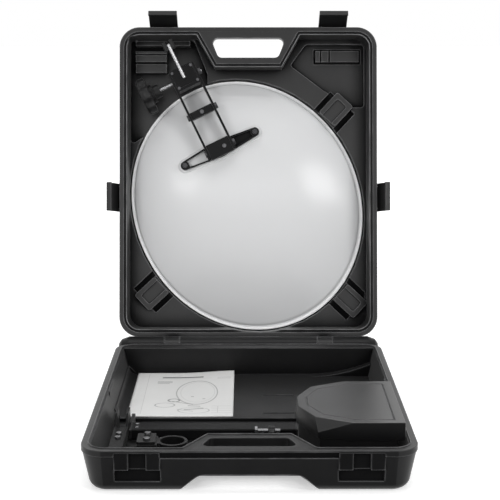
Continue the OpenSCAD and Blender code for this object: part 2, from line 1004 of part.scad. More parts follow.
module reflector() {
    color(dish_grey)
        in_dish()
            difference() {
                union() {
                    in_beam()
                        intersection() {
                            bowl_layer(-dish_t, 0);
                            translate([dish_offset, 0, -20])
                                cylinder(h = 400, r = dish_r - edge_w / 2, $fn = 200);
                        }
                    intersection() {
                        in_beam()
                            bowl_layer(-dish_t - pad_h, -dish_t / 2);
                        translate([0, foot_at, -20])
                            linear_extrude(90)
                                foot_outline(-4);
                    }
                    intersection() {
                        in_beam()
                            translate([dish_offset, 0, -20])
                                difference() {
                                    cylinder(h = 400, r = dish_r, $fn = 200);
                                    translate([0, 0, -1])
                                        cylinder(h = 402, r = dish_band, $fn = 200);
                                }
                        translate([0, 0, -edge_h / 2])
                            linear_extrude(edge_h)
                                square(4 * dish_long, center = true);
                    }
                }
                foot_holes();
            }
}

// Outline of the cast foot, narrowing to its bolted ends, shrunk by g
module foot_outline(g) {
    x = foot_span / 2;
    w = foot_mid_w / 2 - g;
    r = foot_end_r - g;
    polygon([[-x, r], [0, w], [x, r], [x, -r], [0, -w], [-x, -r]]);
    for (s = [-1, 1])
        translate([s * x, 0])
            circle(r);
}

module bracket_foot() {
    rib = 2.5;
    bridge = arm_gap - 2 * slack;
    color(black_paint)
        in_dish()
            difference() {
                translate([0, foot_at, 0]) {
                    linear_extrude(foot_top)
                        foot_outline(0);
                    translate([-bridge / 2, -foot_mid_w / 2 + 1, foot_top - 3])
                        cube([bridge, foot_mid_w - 2, 15]);
                }
                // Window in the left half and sunk web in the right half
                translate([0, foot_at, 0])
                    for (s = [-1, 1])
                        translate([0, 0, s < 0 ? -1 : foot_top - 4])
                            linear_extrude(60)
                                difference() {
                                    foot_outline(rib);
                                    square([bridge + 2 * arm_t + 4, 60], center = true);
                                    translate([-s * 100, 0])
                                        square(200, center = true);
                                    for (e = [-1, 1])
                                        translate([e * foot_span / 2, 0])
                                            circle(foot_end_r);
                                }
                // Seats itself on the curved back
                in_beam()
                    bowl_layer(-dish_t - pad_h - seat, 90);
                foot_holes();
                translate([0, foot_at, arm_axis_z])
                    along_x(-50, 100, bolt_r + play);
                translate([8, foot_at, foot_top + 9.7])
                    cylinder(h = 4, r = 1.5 + play);
            }
}

arm_axis_z = foot_top + nut_r + 0.4;

module foot_bolts() {
    color(zinc)
        in_dish()
            for (s = [-1, 1])
                translate([s * foot_span / 2, foot_at, 0]) {
                    translate([0, 0, foot_bolt_low])
                        cylinder(h = foot_top - foot_bolt_low, r = bolt_r);
                    translate([0, 0, foot_top])
                        cylinder(h = 3, r = bolt_r + 1.2);
                }
}

foot_bolt_low = 12;

module foot_nuts() {
    color(zinc)
        in_dish()
            for (s = [-1, 1])
                translate([s * foot_span / 2, foot_at, foot_bolt_low + 1])
                    difference() {
                        cylinder(h = 5, r = nut_r, $fn = 6);
                        translate([0, 0, -1])
                            cylinder(h = 7, r = bolt_r + play);
                    }
}

// Arm seen from the side, with its bar bent down to follow the reflector's back
module arm_outline() {
    y0 = foot_at - 11;
    bend = dish_long - 6;
    low = pivot_h - arm_h / 2 - 2;
    difference() {
        softened(3)
            polygon([
                [y0, foot_top + seat], [foot_at + foot_mid_w / 2 + 1, foot_top + seat],
                [foot_at + 30, arm_axis_z - 10], [bend, low], [arm_end, low],
                [arm_end, block_top + cover_t], [bend - 6, block_top + cover_t], [foot_at + 14, arm_axis_z + 7],
                [y0, arm_axis_z + 7]
            ]);
        translate([foot_at, arm_axis_z])
            circle(bolt_r + play);
        translate([spacer_at, spacer_z])
            circle(bolt_r + play);
        translate([pivot_at, pivot_h])
            circle(axle_r + play);
    }
}

spacer_z = pivot_h + 7;

module arm_left() {
    color(black_paint)
        in_dish()
            across(-arm_out, arm_t)
                arm_outline();
}

module arm_right() {
    color(black_paint)
        in_dish()
            across(arm_gap / 2, arm_t)
                arm_outline();
}

// Bolt across the arms, with a round head on the left and a hexagon on the right
module cross_bolt(y, z) {
    translate([0, y, z]) {
        along_x(-arm_out, 2 * arm_out, bolt_r);
        along_x(-arm_out - 3, 3, nut_r - 0.8);
        translate([arm_out, 0, 0])
            rotate([0, 90, 0])
                cylinder(h = 4, r = nut_r, $fn = 6);
    }
}

module arm_bolt() {
    color(zinc)
        in_dish()
            cross_bolt(foot_at, arm_axis_z);
}

module arm_spacer() {
    w = arm_gap - 0.1;
    color(black_paint)
        in_dish()
            translate([0, spacer_at, spacer_z])
                difference() {
                    translate([-w / 2, -6, -6])
                        cube([w, 12, 12]);
                    along_x(-50, 100, bolt_r + play);
                    translate([0, 0, 3.6])
                        cylinder(h = 4, r = 1.5 + play);
                }
}

module spacer_bolt() {
    color(zinc)
        in_dish()
            cross_bolt(spacer_at, spacer_z);
}

// Small screws on top of the spacer and of the foot's bridge
module block_screws() {
    color(zinc)
        in_dish()
            for (p = [[0, spacer_at, spacer_z + 6], [8, foot_at, foot_top + 12]])
                translate(p) {
                    translate([0, 0, -2])
                        cylinder(h = 2, r = 1.5);
                    cylinder(h = 1.8, r = 3.4);
                }
}

module tilt_axle() {
    l = arm_out + 6 + knob_in + axle_in;
    color(zinc)
        in_dish()
            translate([0, pivot_at, pivot_h])
                along_x(-knob_in - axle_in, l, axle_r);
}

module axle_nut() {
    color(zinc)
        in_dish()
            translate([arm_out, pivot_at, pivot_h])
                rotate([0, 90, 0])
                    difference() {
                        cylinder(h = 5, r = nut_r, $fn = 6);
                        translate([0, 0, -1])
                            cylinder(h = 7, r = axle_r + play);
                    }
}

// Hand wheel with scalloped grip and a stepped hub that faces the arm
module tilt_knob() {
    lobes = 6;
    scallop_r = 9;
    color(black_plastic)
        in_dish()
            translate([-knob_in, pivot_at, pivot_h])
                rotate([0, -90, 0])
                    difference() {
                        union() {
                            translate([0, 0, knob_hub_l])
                                cylinder(h = knob_t - 4, r = knob_r);
                            cylinder(h = knob_hub_l + 1, r = knob_r * 0.36);
                            translate([0, 0, knob_hub_l - 6])
                                cylinder(h = 7, r = knob_r * 0.5);
                            translate([0, 0, knob_hub_l + knob_t - 5])
                                cylinder(h = 5, r1 = knob_r, r2 = knob_r - 5);
                        }
                        for (i = [0:lobes - 1])
                            rotate(360 * (i + 0.5) / lobes)
                                translate([knob_r + scallop_r * 0.55, 0, knob_hub_l - 1])
                                    cylinder(h = knob_t + 4, r = scallop_r);
                        translate([0, 0, -1])
                            cylinder(h = axle_in + 2, r = axle_r + play);
                    }
}

module clamp_block() {
    w = arm_gap - 2 * slack;
    color(black_paint)
        in_dish()
            translate([0, pivot_at, pivot_h])
                difference() {
                    translate([-w / 2, -block_l / 2, -block_h / 2])
                        cube([w, block_l, block_h]);
                    along_x(-50, 100, axle_r + play);
                    at_screws()
                        translate([0, 0, block_h / 2 - screw_l])
                            cylinder(h = screw_l + 1, r = screw_r + play);
                    // V that bears on the mast
                    translate([0, block_l / 2, -block_h / 2 - 1])
                        linear_extrude(block_h - 6)
                            polygon([[-11, 1], [11, 1], [0, -8]]);
                }
}

screw_r = 1.5;
screw_l = 10;

module at_screws() {
    for (sx = [-1, 1], sy = [-1, 1])
        translate([sx * screw_dx / 2, sy * screw_dy / 2, 0])
            children();
}

module clamp_cover() {
    w = arm_gap - 2 * slack;
    slot = 2 * (rod_r + slack);
    color(black_paint)
        in_dish()
            translate([0, pivot_at, block_top])
                difference() {
                    linear_extrude(cover_t)
                        softened(2)
                            square([w, block_l], center = true);
                    translate([rod_x - slot / 2, rod_from - pivot_at - slack, -1])
                        cube([slot, block_l, cover_t + 2]);
                    at_screws()
                        translate([0, 0, -1])
                            cylinder(h = cover_t + 2, r = screw_r + play);
                }
}

module cover_screws() {
    color(zinc)
        in_dish()
            translate([0, pivot_at, block_top])
                at_screws() {
                    translate([0, 0, -screw_l + 1])
                        cylinder(h = screw_l - 1 + cover_t, r = screw_r);
                    translate([0, 0, cover_t])
                        cylinder(h = 1.6, r = screw_r * 1.7);
                }
}

module clamp_rod() {
    color(zinc)
        in_dish()
            translate([rod_x, rod_from, block_top + rod_r])
                rotate([-90, 0, 0])
                    cylinder(h = rod_l, r = rod_r);
}

module clamp_jaw() {
    low = 10;
    color(black_plastic)
        in_dish()
            translate([rod_x, jaw_from, block_top + rod_r])
                difference() {
                    translate([0, jaw_l, 0])
                        rotate([90, 0, 0])
                            linear_extrude(jaw_l)
                                softened(2.5)
                                    translate([-jaw_w / 2, -low])
                                        square([jaw_w, low + 1.2]);
                    translate([0, -1, 0])
                        rotate([-90, 0, 0])
                            cylinder(h = jaw_l + 2, r = rod_r + play);
                    // V that bears on the mast
                    translate([0, 0, -low - 1])
                        linear_extrude(low - rod_r - 1)
                            polygon([[-7, -1], [7, -1], [0, 5]]);
                }
}

// Pieces in the tray

// Half outline of the box from its blunt end to the case's side, drawn in by c at the shoulder
function box_half(nose, c, x) = [[nose, blunt_w / 2], [24 - c / 6, box_w / 2 - c], [66, box_w / 2], [x, box_w / 2]];

function mirror_half(half) = concat(half, [for (i = [len(half) - 1:-1:0]) [half[i].x, -half[i].y]]);

module box_outline(g) {
    offset(delta = -g)
        polygon(mirror_half(box_half(-2, 9, box_l + g)));
}

module in_box() {
    translate([box_x0, box_y, box_z])
        children();
}

module tub_outline(g) {
    intersection() {
        box_outline(cover_lip + g);
        translate([0, -box_w / 2])
            square([box_l - g, box_w]);
    }
}

module accessory_box() {
    color(black_plastic)
        in_box()
            difference() {
                linear_extrude(tub_h)
                    tub_outline(0);
                translate([0, 0, box_t])
                    linear_extrude(tub_h)
                        tub_outline(box_t);
            }
}

// Cover with a bevelled nose, a sunk line round its top and a skirt inside the tub
module box_cover() {
    low = mirror_half(box_half(-2, 9, box_l + cover_over));
    top = mirror_half(box_half(0, 25, box_l + cover_over));
    line = 1;
    inset = 12;
    color(black_plastic)
        in_box()
            translate([0, 0, tub_h])
                difference() {
                    union() {
                        linear_extrude(cover_edge)
                            polygon(low);
                        hull() {
                            translate([0, 0, cover_edge - 0.6])
                                linear_extrude(0.6)
                                    polygon(low);
                            translate([0, 0, cover_h - 0.6])
                                linear_extrude(0.6)
                                    polygon(top);
                        }
                        translate([0, 0, -4])
                            linear_extrude(5)
                                tub_outline(box_t + slack);
                    }
                    translate([0, 0, -5])
                        linear_extrude(cover_h + 5 - 2 * box_t)
                            tub_outline(2 * box_t + slack + 6);
                    translate([0, 0, cover_h - line])
                        linear_extrude(2 * line)
                            difference() {
                                offset(delta = -inset)
                                    polygon(top);
                                offset(delta = -inset - 1.2)
                                    polygon(top);
                            }
                }
}

// Receiver head: a moulded housing with its feed horn, cap and aerial socket
module in_lnb() {
    translate([lnb_x, box_y, lnb_z])
        children();
}

lnb_half = 21;

module lnb_housing() {
    color(dish_grey)
        in_lnb()
            difference() {
                linear_extrude(2 * lnb_half)
                    softened(5)
                        translate([-lnb_half, -lnb_back])
                            square([2 * lnb_half, lnb_back + lnb_front]);
                translate([0, 10 - lnb_back, horn_r])
                    rotate([90, 0, 0])
                        cylinder(h = 12, r = socket_r + play);
            }
}

socket_r = 3.6;

module lnb_horn() {
    color(zinc)
        in_lnb()
            translate([0, lnb_front, horn_r])
                rotate([-90, 0, 0])
                    rotate_extrude()
                        polygon([
                            [neck_d / 2 - 5, 0], [neck_d / 2, 0], [neck_d / 2, 24], [horn_r - 0.2, 26],
                            [horn_r - 0.2, horn_l], [horn_r - 3, horn_l], [horn_r - 4, 30], [neck_d / 2 - 5, 22]
                        ]);
}

module lnb_cap() {
    r = horn_r - 0.2;
    color(paper)
        in_lnb()
            translate([0, lnb_front + horn_l, horn_r])
                rotate([-90, 0, 0])
                    rotate_extrude()
                        polygon([[0, 0], [r, 0], [r, 4], [r - 3, 7], [0, 8]]);
}

module lnb_socket() {
    color(zinc)
        in_lnb()
            translate([0, 10 - lnb_back, horn_r])
                rotate([90, 0, 0]) {
                    cylinder(h = 20, r = socket_r);
                    translate([0, 0, 10])
                        cylinder(h = 3, r = 5.5, $fn = 6);
                }
}

module feed_screw_holes() {
    for (y = [-7, 7])
        translate([feed_x0 + 7, feed_y + y, feed_z + feed_h - feed_t - 1.2])
            cylinder(h = feed_t + 3, r = 1.5 + play);
}

module feed_arm() {
    color(black_paint)
        difference() {
            translate([feed_x0, feed_y, feed_z])
                across(0, feed_l)
                    difference() {
                        softened(2)
                            translate([-feed_w / 2, 0])
                                square([feed_w, feed_h]);
                        softened(1)
                            translate([feed_t - feed_w / 2, feed_t])
                                square([feed_w - 2 * feed_t, feed_h - 2 * feed_t]);
                    }
            feed_screw_holes();
        }
}

// Screws that hold the left plug in the feed arm
module feed_arm_screws() {
    color(zinc)
        translate([feed_x0 + 7, feed_y, feed_z + feed_h])
            for (y = [-7, 7])
                translate([0, y, 0]) {
                    translate([0, 0, -feed_t - 1])
                        cylinder(h = feed_t + 1, r = 1.5);
                    cylinder(h = 1.5, r = 2.6);
                }
}

module feed_arm_plugs() {
    w = feed_w - 2 * feed_t - 0.4;
    h = feed_h - 2 * feed_t - 0.4;
    color(black_plastic)
        difference() {
            for (s = [0, 1])
                translate([feed_x0 + s * feed_l, feed_y, feed_z])
                    mirror([s, 0, 0]) {
                        across(-1, 13)
                            softened(1)
                                translate([-w / 2, feed_t + 0.2])
                                    square([w, h]);
                        across(-feed_plug, feed_plug)
                            softened(2)
                                translate([-feed_w / 2, 0])
                                    square([feed_w, feed_h]);
                    }
            feed_screw_holes();
        }
}

// Clamp that holds the receiver head's neck, lying on the tray's floor
module in_clamp() {
    translate([clamp_x, clamp_y, channel_z])
        children();
}

stem_l = 26;
stem_w = 36;

module at_clamp_bolts() {
    for (s = [-1, 1])
        translate([-clamp_r - stem_l / 2, s * 11, 0])
            children();
}

// Half of the split block with its ring, above or under the split
module ring_part(z0, z1) {
    difference() {
        translate([0, 0, z0])
            linear_extrude(z1 - z0)
                difference() {
                    union() {
                        circle(clamp_r);
                        translate([-clamp_r - stem_l, -stem_w / 2])
                            square([stem_l, stem_w]);
                        translate([-clamp_r - 2, -11])
                            square([clamp_r - neck_d / 2 + 1, 22]);
                    }
                    circle(neck_d / 2 + 0.25);
                }
        at_clamp_bolts()
            translate([0, 0, -1])
                cylinder(h = ring_h + 2, r = 2.5 + play);
    }
}

module feed_clamp() {
    color(black_plastic)
        in_clamp()
            ring_part(0, ring_h);
}

module feed_clamp_cap() {
    color(black_plastic)
        in_clamp()
            difference() {
                translate([-clamp_r - stem_l, -stem_w / 2, ring_h])
                    linear_extrude(4)
                        softened(3)
                            square([stem_l - 2, stem_w]);
                at_clamp_bolts()
                    translate([0, 0, ring_h - 1])
                        cylinder(h = 6, r = 2.5 + play);
            }
}

module feed_clamp_bolts() {
    color(zinc)
        in_clamp()
            at_clamp_bolts() {
                translate([0, 0, 1])
                    cylinder(h = ring_h + 4 - 1, r = 2.5);
                translate([0, 0, ring_h + 4])
                    cylinder(h = 3.5, r = 4.6, $fn = 6);
            }
}

// Bracket for a rail, lying along the left wall, with an upturned end and slots
module rail_bracket() {
    t = 3;
    up_h = 30;
    up_l = 34;
    bed = 16;
    color(black_paint)
        translate([rail_x, rail_y1, channel_z])
            difference() {
                union() {
                    translate([0, -rail_l, 0])
                        cube([rail_w, rail_l, t]);
                    for (x = [0, rail_w - t])
                        across(x, t)
                            softened(2)
                                polygon([
                                    [-rail_l, 0], [0, 0], [0, up_h], [-up_l + 6, up_h], [-up_l - 8, bed], [-rail_l, bed]
                                ]);
                    translate([0, -rail_l, bed - t])
                        cube([rail_w, rail_l - up_l - 10, t]);
                }
                for (i = [0:2])
                    translate([rail_w / 2, -rail_l + 22 + 16 * i, -1])
                        linear_extrude(bed + 2)
                            square([8, 4], center = true);
                for (y = rail_screw_y)
                    translate([rail_w / 2, y, -1])
                        cylinder(h = bed + 2, r = 2 + play);
            }
}

rail_screw_y = [-88, -72];

module rail_screws() {
    color(zinc)
        translate([rail_x, rail_y1, channel_z])
            for (y = rail_screw_y)
                translate([rail_w / 2, y, 0]) {
                    translate([0, 0, 0.5])
                        cylinder(h = 15.5, r = 2);
                    translate([0, 0, 16])
                        cylinder(h = 2.4, r = 3.8);
                }
}

module wing_bolt() {
    color(zinc)
        translate([wing_x, wing_y, wing_z])
            rotate([0, 90, 0]) {
                cylinder(h = 30, r = 2.5);
                translate([0, 0, -3.5])
                    cylinder(h = 3.5, r = 5.8, $fn = 6);
            }
}

module wing_nut() {
    color(black_plastic)
        translate([wing_x + 14, wing_y, wing_z])
            difference() {
                union() {
                    along_x(0, 9, 5.8);
                    across(1, 7)
                        softened(2)
                            square([26, 6], center = true);
                }
                along_x(-1, 11, 2.5 + play);
            }
}

module booklet() {
    color(paper)
        translate([booklet_x - booklet_w / 2, booklet_y - booklet_d / 2, tray_z])
            cube([booklet_w, booklet_d, booklet_t]);
}

case_base();
case_lid();
hinge_pins();
latch_front_left();
latch_front_right();
latch_side_left();
latch_side_right();
latch_pins();
reflector();
bracket_foot();
foot_bolts();
foot_nuts();
arm_left();
arm_right();
arm_bolt();
arm_spacer();
spacer_bolt();
block_screws();
tilt_axle();
axle_nut();
tilt_knob();
clamp_block();
clamp_cover();
cover_screws();
clamp_rod();
clamp_jaw();
accessory_box();
box_cover();
lnb_housing();
lnb_horn();
lnb_cap();
lnb_socket();
feed_arm();
feed_arm_plugs();
feed_arm_screws();
feed_clamp();
feed_clamp_cap();
feed_clamp_bolts();
rail_bracket();
rail_screws();
wing_bolt();
wing_nut();
booklet();
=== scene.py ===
"""Looks of a portable satellite dish antenna that lies stowed in its open carrying case."""

import json
import logging
import math
from dataclasses import dataclass
from enum import Enum

import bmesh
import bpy
import numpy as np
from mathutils import Matrix, Vector

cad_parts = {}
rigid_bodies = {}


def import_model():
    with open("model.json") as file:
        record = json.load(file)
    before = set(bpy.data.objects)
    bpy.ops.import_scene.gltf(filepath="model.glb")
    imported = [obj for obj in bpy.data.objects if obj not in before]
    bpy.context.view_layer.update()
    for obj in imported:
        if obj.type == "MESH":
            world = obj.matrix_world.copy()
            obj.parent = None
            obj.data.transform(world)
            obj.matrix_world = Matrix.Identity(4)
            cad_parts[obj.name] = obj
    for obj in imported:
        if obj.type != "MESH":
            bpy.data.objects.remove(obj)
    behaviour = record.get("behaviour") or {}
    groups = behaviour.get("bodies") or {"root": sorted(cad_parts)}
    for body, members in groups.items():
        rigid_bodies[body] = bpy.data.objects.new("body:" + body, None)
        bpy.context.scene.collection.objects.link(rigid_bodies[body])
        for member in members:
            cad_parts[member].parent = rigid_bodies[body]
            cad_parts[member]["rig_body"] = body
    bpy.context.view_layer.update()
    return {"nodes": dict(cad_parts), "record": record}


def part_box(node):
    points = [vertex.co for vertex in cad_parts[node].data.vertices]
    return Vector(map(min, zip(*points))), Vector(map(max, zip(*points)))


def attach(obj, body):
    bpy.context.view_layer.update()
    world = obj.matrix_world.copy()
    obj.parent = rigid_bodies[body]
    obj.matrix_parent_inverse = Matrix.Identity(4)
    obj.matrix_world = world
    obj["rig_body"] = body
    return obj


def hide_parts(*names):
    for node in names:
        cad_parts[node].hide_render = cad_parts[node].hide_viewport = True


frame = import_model()
SLOTS = {row["node"]: row["material_slot"] for row in frame["record"]["subparts"]}
log = logging.getLogger("dish_case")

Span = tuple[float, float]
Triple = tuple[float, float, float]
Socket = bpy.types.NodeSocket

MM = 0.001
FULL_TURN = 2 * math.pi
WHITE = (1.0, 1.0, 1.0, 1.0)
NOISE_BAND = (0.3, 0.7)


class Edge(Enum):
    """How far a moulded, cast or cut edge is rounded, in metres."""

    CASE = 0.0007
    LID = 0.00042
    BOX = 0.0009
    LATCH = 0.0006
    CAST = 0.0005
    PLATE = 0.0004
    FASTENER = 0.0003


class Slot(Enum):
    """Material slots of the part."""

    CASE = "case_plastic"
    DISH = "dish_paint"
    STEEL = "black_steel"
    ZINC = "zinc_steel"
    GRIP = "grip_plastic"
    HEAD = "head_plastic"
    HORN = "horn_alloy"
    PAPER = "print_paper"


class Weld(Enum):
    """Points closer than this become one, in metres."""

    GRID = 1e-7
    SLIVER = 1e-6
    SEAM = 2e-6


EDGE_GROUPS = {
    Edge.CASE: ("case_base",),
    Edge.LID: ("case_lid",),
    Edge.BOX: ("accessory_box", "box_cover", "lnb_housing", "lnb_cap"),
    Edge.LATCH: (
        "latch_front_left", "latch_front_right", "latch_side_left", "latch_side_right",
        "clamp_jaw", "feed_clamp", "feed_clamp_cap",
    ),
    Edge.CAST: (
        "arm_spacer", "clamp_block", "rail_bracket", "lnb_horn", "feed_arm_plugs", "wing_nut",
    ),
    Edge.PLATE: ("arm_left", "arm_right", "clamp_cover", "feed_arm", "bracket_foot"),
    Edge.FASTENER: (
        "hinge_pins", "latch_pins", "foot_bolts", "foot_nuts", "arm_bolt", "spacer_bolt",
        "block_screws", "axle_nut", "cover_screws", "lnb_socket", "feed_arm_screws",
        "feed_clamp_bolts", "rail_screws", "wing_bolt",
    ),
}


def shift(x: float, y: float, z: float) -> np.ndarray:
    """Matrix that moves a point by x, y and z."""
    m = np.eye(4)
    m[:3, 3] = (x, y, z)
    return m


def turn(axis: int, degrees: float) -> np.ndarray:
    """Matrix that turns a point about the axis 0, 1 or 2."""
    a, b = [(1, 2), (2, 0), (0, 1)][axis]
    c, s = math.cos(math.radians(degrees)), math.sin(math.radians(degrees))
    m = np.eye(4)
    m[a, a], m[a, b], m[b, a], m[b, b] = c, -s, s, c
    return m


def placed(points: np.ndarray, matrix: np.ndarray) -> np.ndarray:
    """Points of any grid shape, taken through a 4 x 4 matrix."""
    return points @ matrix[:3, :3].T + matrix[:3, 3]


def smooth(x: np.ndarray, low: float, high: float) -> np.ndarray:
    """Soft step 3t^2 - 2t^3 that rises from 0 at low to 1 at high."""
    t = np.clip((x - low) / (high - low), 0, 1)
    return t * t * (3 - 2 * t)


def squared(x: np.ndarray, power: float) -> np.ndarray:
    """|x|^power with the sign of x, which makes a circle squarer for a power below 1."""
    return np.sign(x) * np.abs(x) ** power


def angles(count: int) -> np.ndarray:
    """Evenly spaced angles over a full turn."""
    return np.linspace(0, FULL_TURN, count, endpoint=False)


def grid_quads(rows: int, cols: int, closed: bool) -> np.ndarray:
    """Corner numbers of the quads of a grid whose points are numbered row by row.

    Args:
        rows: Number of points along the first parameter.
        cols: Number of points along the second parameter.
        closed: True where the last column joins the first.

    Returns:
        Array of four corner numbers for each quad.
    """
    steps = np.arange(cols if closed else cols - 1)
    i, j = np.meshgrid(np.arange(rows - 1), steps, indexing="ij")
    k = (j + 1) % cols
    corners = [i * cols + j, i * cols + k, (i + 1) * cols + k, (i + 1) * cols + j]
    return np.stack(corners, -1).reshape(-1, 4)


def linked(name: str, data: bpy.types.ID) -> bpy.types.Object:
    """New object in the scene, at the origin, that carries the given data."""
    obj = bpy.data.objects.new(name, data)
    bpy.context.collection.objects.link(obj)
    return obj


def smooth_object(name: str, mesh: bpy.types.Mesh) -> bpy.types.Object:
    """New object of a mesh whose faces are all shaded smooth."""
    mesh.polygons.foreach_set("use_smooth", np.ones(len(mesh.polygons), bool))
    return linked(name, mesh)


def surface(name: str, points: np.ndarray, closed: bool = True) -> bpy.types.Object:
    """Makes a smooth object from a grid of points, merging rows that shrink to a pole.

    Args:
        name: Name of the piece.
        points: Grid of points, rows by columns by 3, in the part's frame.
        closed: True where the last column joins the first.

    Returns:
        The new object, at the origin.
    """
    rows, cols = points.shape[:2]
    mesh = bpy.data.meshes.new(name)
    quads = grid_quads(rows, cols, closed).tolist()
    mesh.from_pydata(points.reshape(-1, 3).tolist(), [], quads)
    bm = bmesh.new()
    bm.from_mesh(mesh)
    bmesh.ops.remove_doubles(bm, verts=bm.verts, dist=Weld.GRID.value)
    bmesh.ops.recalc_face_normals(bm, faces=bm.faces)
    bm.to_mesh(mesh)
    bm.free()
    return smooth_object(name, mesh)


@dataclass(frozen=True)
class Rounding:
    """Makes a merged copy of a CAD node with rounded edges."""

    flat: float = 0.7
    sharp: float = 32.0
    merge_share: float = 0.8
    first_corners: int = 4
    last_corners: int = 12
    segments: int = 2

    def flattened(self, bm: bmesh.types.BMesh, corners: int) -> None:
        """Joins faces that lie in one plane, and splits those with more than so many corners."""
        limit = math.radians(self.flat)
        bmesh.ops.dissolve_limit(bm, angle_limit=limit, verts=bm.verts, edges=bm.edges)
        bmesh.ops.triangulate(bm, faces=[f for f in bm.faces if len(f.verts) > corners])

    def mesh(self, node: str, edge: Edge) -> bpy.types.Mesh:
        """Mesh of the node without seams, and without edges too short to be rounded.

        Args:
            node: Name of the CAD node.
            edge: How far the edges are to be rounded.

        Returns:
            The new mesh.
        """
        bm = bmesh.new()
        bm.from_mesh(frame["nodes"][node].data)
        bmesh.ops.remove_doubles(bm, verts=bm.verts, dist=Weld.SEAM.value)
        self.flattened(bm, self.first_corners)
        bmesh.ops.remove_doubles(bm, verts=bm.verts, dist=edge.value * self.merge_share)
        bmesh.ops.dissolve_degenerate(bm, dist=Weld.SLIVER.value, edges=bm.edges)
        self.flattened(bm, self.last_corners)
        mesh = bpy.data.meshes.new(node + "_piece")
        bm.to_mesh(mesh)
        bm.free()
        return mesh

    def piece(self, node: str, edge: Edge) -> bpy.types.Object:
        """Rounded piece that stands for the node.

        Args:
            node: Name of the CAD node.
            edge: How far the edges are rounded.

        Returns:
            The new piece, which rides on the node's body.
        """
        obj = smooth_object(node + "_piece", self.mesh(node, edge))
        bevel = obj.modifiers.new("edges", "BEVEL")
        bevel.width = edge.value
        bevel.segments = self.segments
        bevel.limit_method = "ANGLE"
        bevel.angle_limit = math.radians(self.sharp)
        bevel.use_clamp_overlap = False
        bevel.harden_normals = False
        normals = obj.modifiers.new("normals", "WEIGHTED_NORMAL")
        normals.keep_sharp = True
        return stands_for(obj, node)


def stands_for(obj: bpy.types.Object, *nodes: str) -> bpy.types.Object:
    """Lets a piece ride on its nodes' body and stand for them, hiding the nodes."""
    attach(obj, frame["nodes"][nodes[0]]["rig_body"])
    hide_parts(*nodes)
    return obj


def dressed(obj: bpy.types.Object, material: bpy.types.Material) -> bpy.types.Object:
    """Gives a piece its only material and reports it."""
    obj.data.materials.clear()
    obj.data.materials.append(material)
    log.info("%s: %s", obj.name, material.name)
    return obj


@dataclass(frozen=True)
class LidFrame:
    """Frames of the open lid, of the reflector in it and of the reflector's beam, in metres."""

    hinge_y: float = 0.26271
    hinge_z: float = 0.0451
    hinge_back: float = 0.016
    hinge_drop: float = 0.0111
    lid_open: float = 102.0
    dish_x: float = -0.002
    dish_y: float = 0.21121
    dish_z: float = -0.0477
    dish_turn: float = 26.0
    offset: float = 0.205
    focal: float = 0.199
    radius: float = 0.1835

    @property
    def tilt(self) -> float:
        """Angle between the beam's cross plane and the reflector's edge, in degrees."""
        return math.degrees(math.atan(self.offset / (2 * self.focal)))

    @property
    def edge_level(self) -> float:
        """Height of the edge's middle along the beam."""
        return (self.radius**2 + self.offset**2) / (4 * self.focal)

    def lid(self) -> np.ndarray:
        """Lid: X to the right, Y up from the hinge edge, Z out of the rim plane."""
        return (
            shift(0, self.hinge_y, self.hinge_z)
            @ turn(0, 180 - self.lid_open)
            @ shift(0, self.hinge_back, -self.hinge_drop)
        )

    def dish(self) -> np.ndarray:
        """Reflector: Y along its long axis, Z out of its back."""
        place = shift(self.dish_x, self.dish_y, self.dish_z)
        return self.lid() @ place @ turn(2, self.dish_turn)

    def beam_in_dish(self) -> np.ndarray:
        """Paraboloid in the reflector's frame: Z along the beam, the vertex at the origin."""
        vertex = shift(-self.offset, 0, -self.edge_level)
        return turn(2, -90) @ turn(1, -self.tilt) @ turn(0, 180) @ vertex


FRAMES = LidFrame()


class Graph:
    """Builds shader nodes in few words."""

    def __init__(self, tree: bpy.types.NodeTree) -> None:
        """Takes the tree that the nodes go into."""
        self.tree = tree

    def add(self, kind: str, settings: dict | None = None, **inputs: object) -> bpy.types.Node:
        """Adds a node.

        Args:
            kind: Node type without its ShaderNode prefix.
            settings: Properties of the node.
            inputs: Values or sockets for its inputs, by name with _ for a space, or by number
                with a leading i.

        Returns:
            The new node.
        """
        node = self.tree.nodes.new("ShaderNode" + kind)
        for key, value in (settings or {}).items():
            setattr(node, key, value)
        for key, value in inputs.items():
            numbered = key[0] == "i" and key[1:].isdigit()
            self.put(node, int(key[1:]) if numbered else key.replace("_", " "), value)
        return node

    def put(self, node: bpy.types.Node, key: int | str, value: object) -> None:
        """Sets an input to a constant or links it to a socket."""
        if isinstance(value, Socket):
            self.tree.links.new(value, node.inputs[key])
        else:
            node.inputs[key].default_value = value

    def math(self, operation: str, *values: float | Socket) -> Socket:
        """Result of an operation on numbers."""
        inputs = {f"i{k}": value for k, value in enumerate(values)}
        return self.add("Math", {"operation": operation}, **inputs).outputs[0]

    def vector(self, operation: str, *values: Triple | Socket) -> Socket:
        """Result of an operation on vectors, which is a number for the length."""
        inputs = {f"i{k}": value for k, value in enumerate(values)}
        node = self.add("VectorMath", {"operation": operation}, **inputs)
        return node.outputs["Value" if operation == "LENGTH" else "Vector"]

    def axes(self, vector: Socket) -> list[Socket]:
        """Parts of a vector along X, Y and Z."""
        return list(self.add("SeparateXYZ", i0=vector).outputs)

    def remap(self, value: Socket, start: Span, end: Span = (0.0, 1.0)) -> Socket:
        """Number that runs over end as the value runs over start, and holds outside it.

        Args:
            value: Socket of the value.
            start: Values at which the run begins and stops.
            end: Results at those values.

        Returns:
            Socket of the result.
        """
        limits = dict(From_Min=start[0], From_Max=start[1], To_Min=end[0], To_Max=end[1])
        return self.add("MapRange", Value=value, **limits).outputs[0]

    def mix(self, share: Socket, first: Socket, second: Triple) -> Socket:
        """Colour that goes from the first to the second as share goes from 0 to 1."""
        inputs = {"i0": share, "i6": first, "i7": (*second, 1.0)}
        return self.add("Mix", {"data_type": "RGBA"}, **inputs).outputs[2]


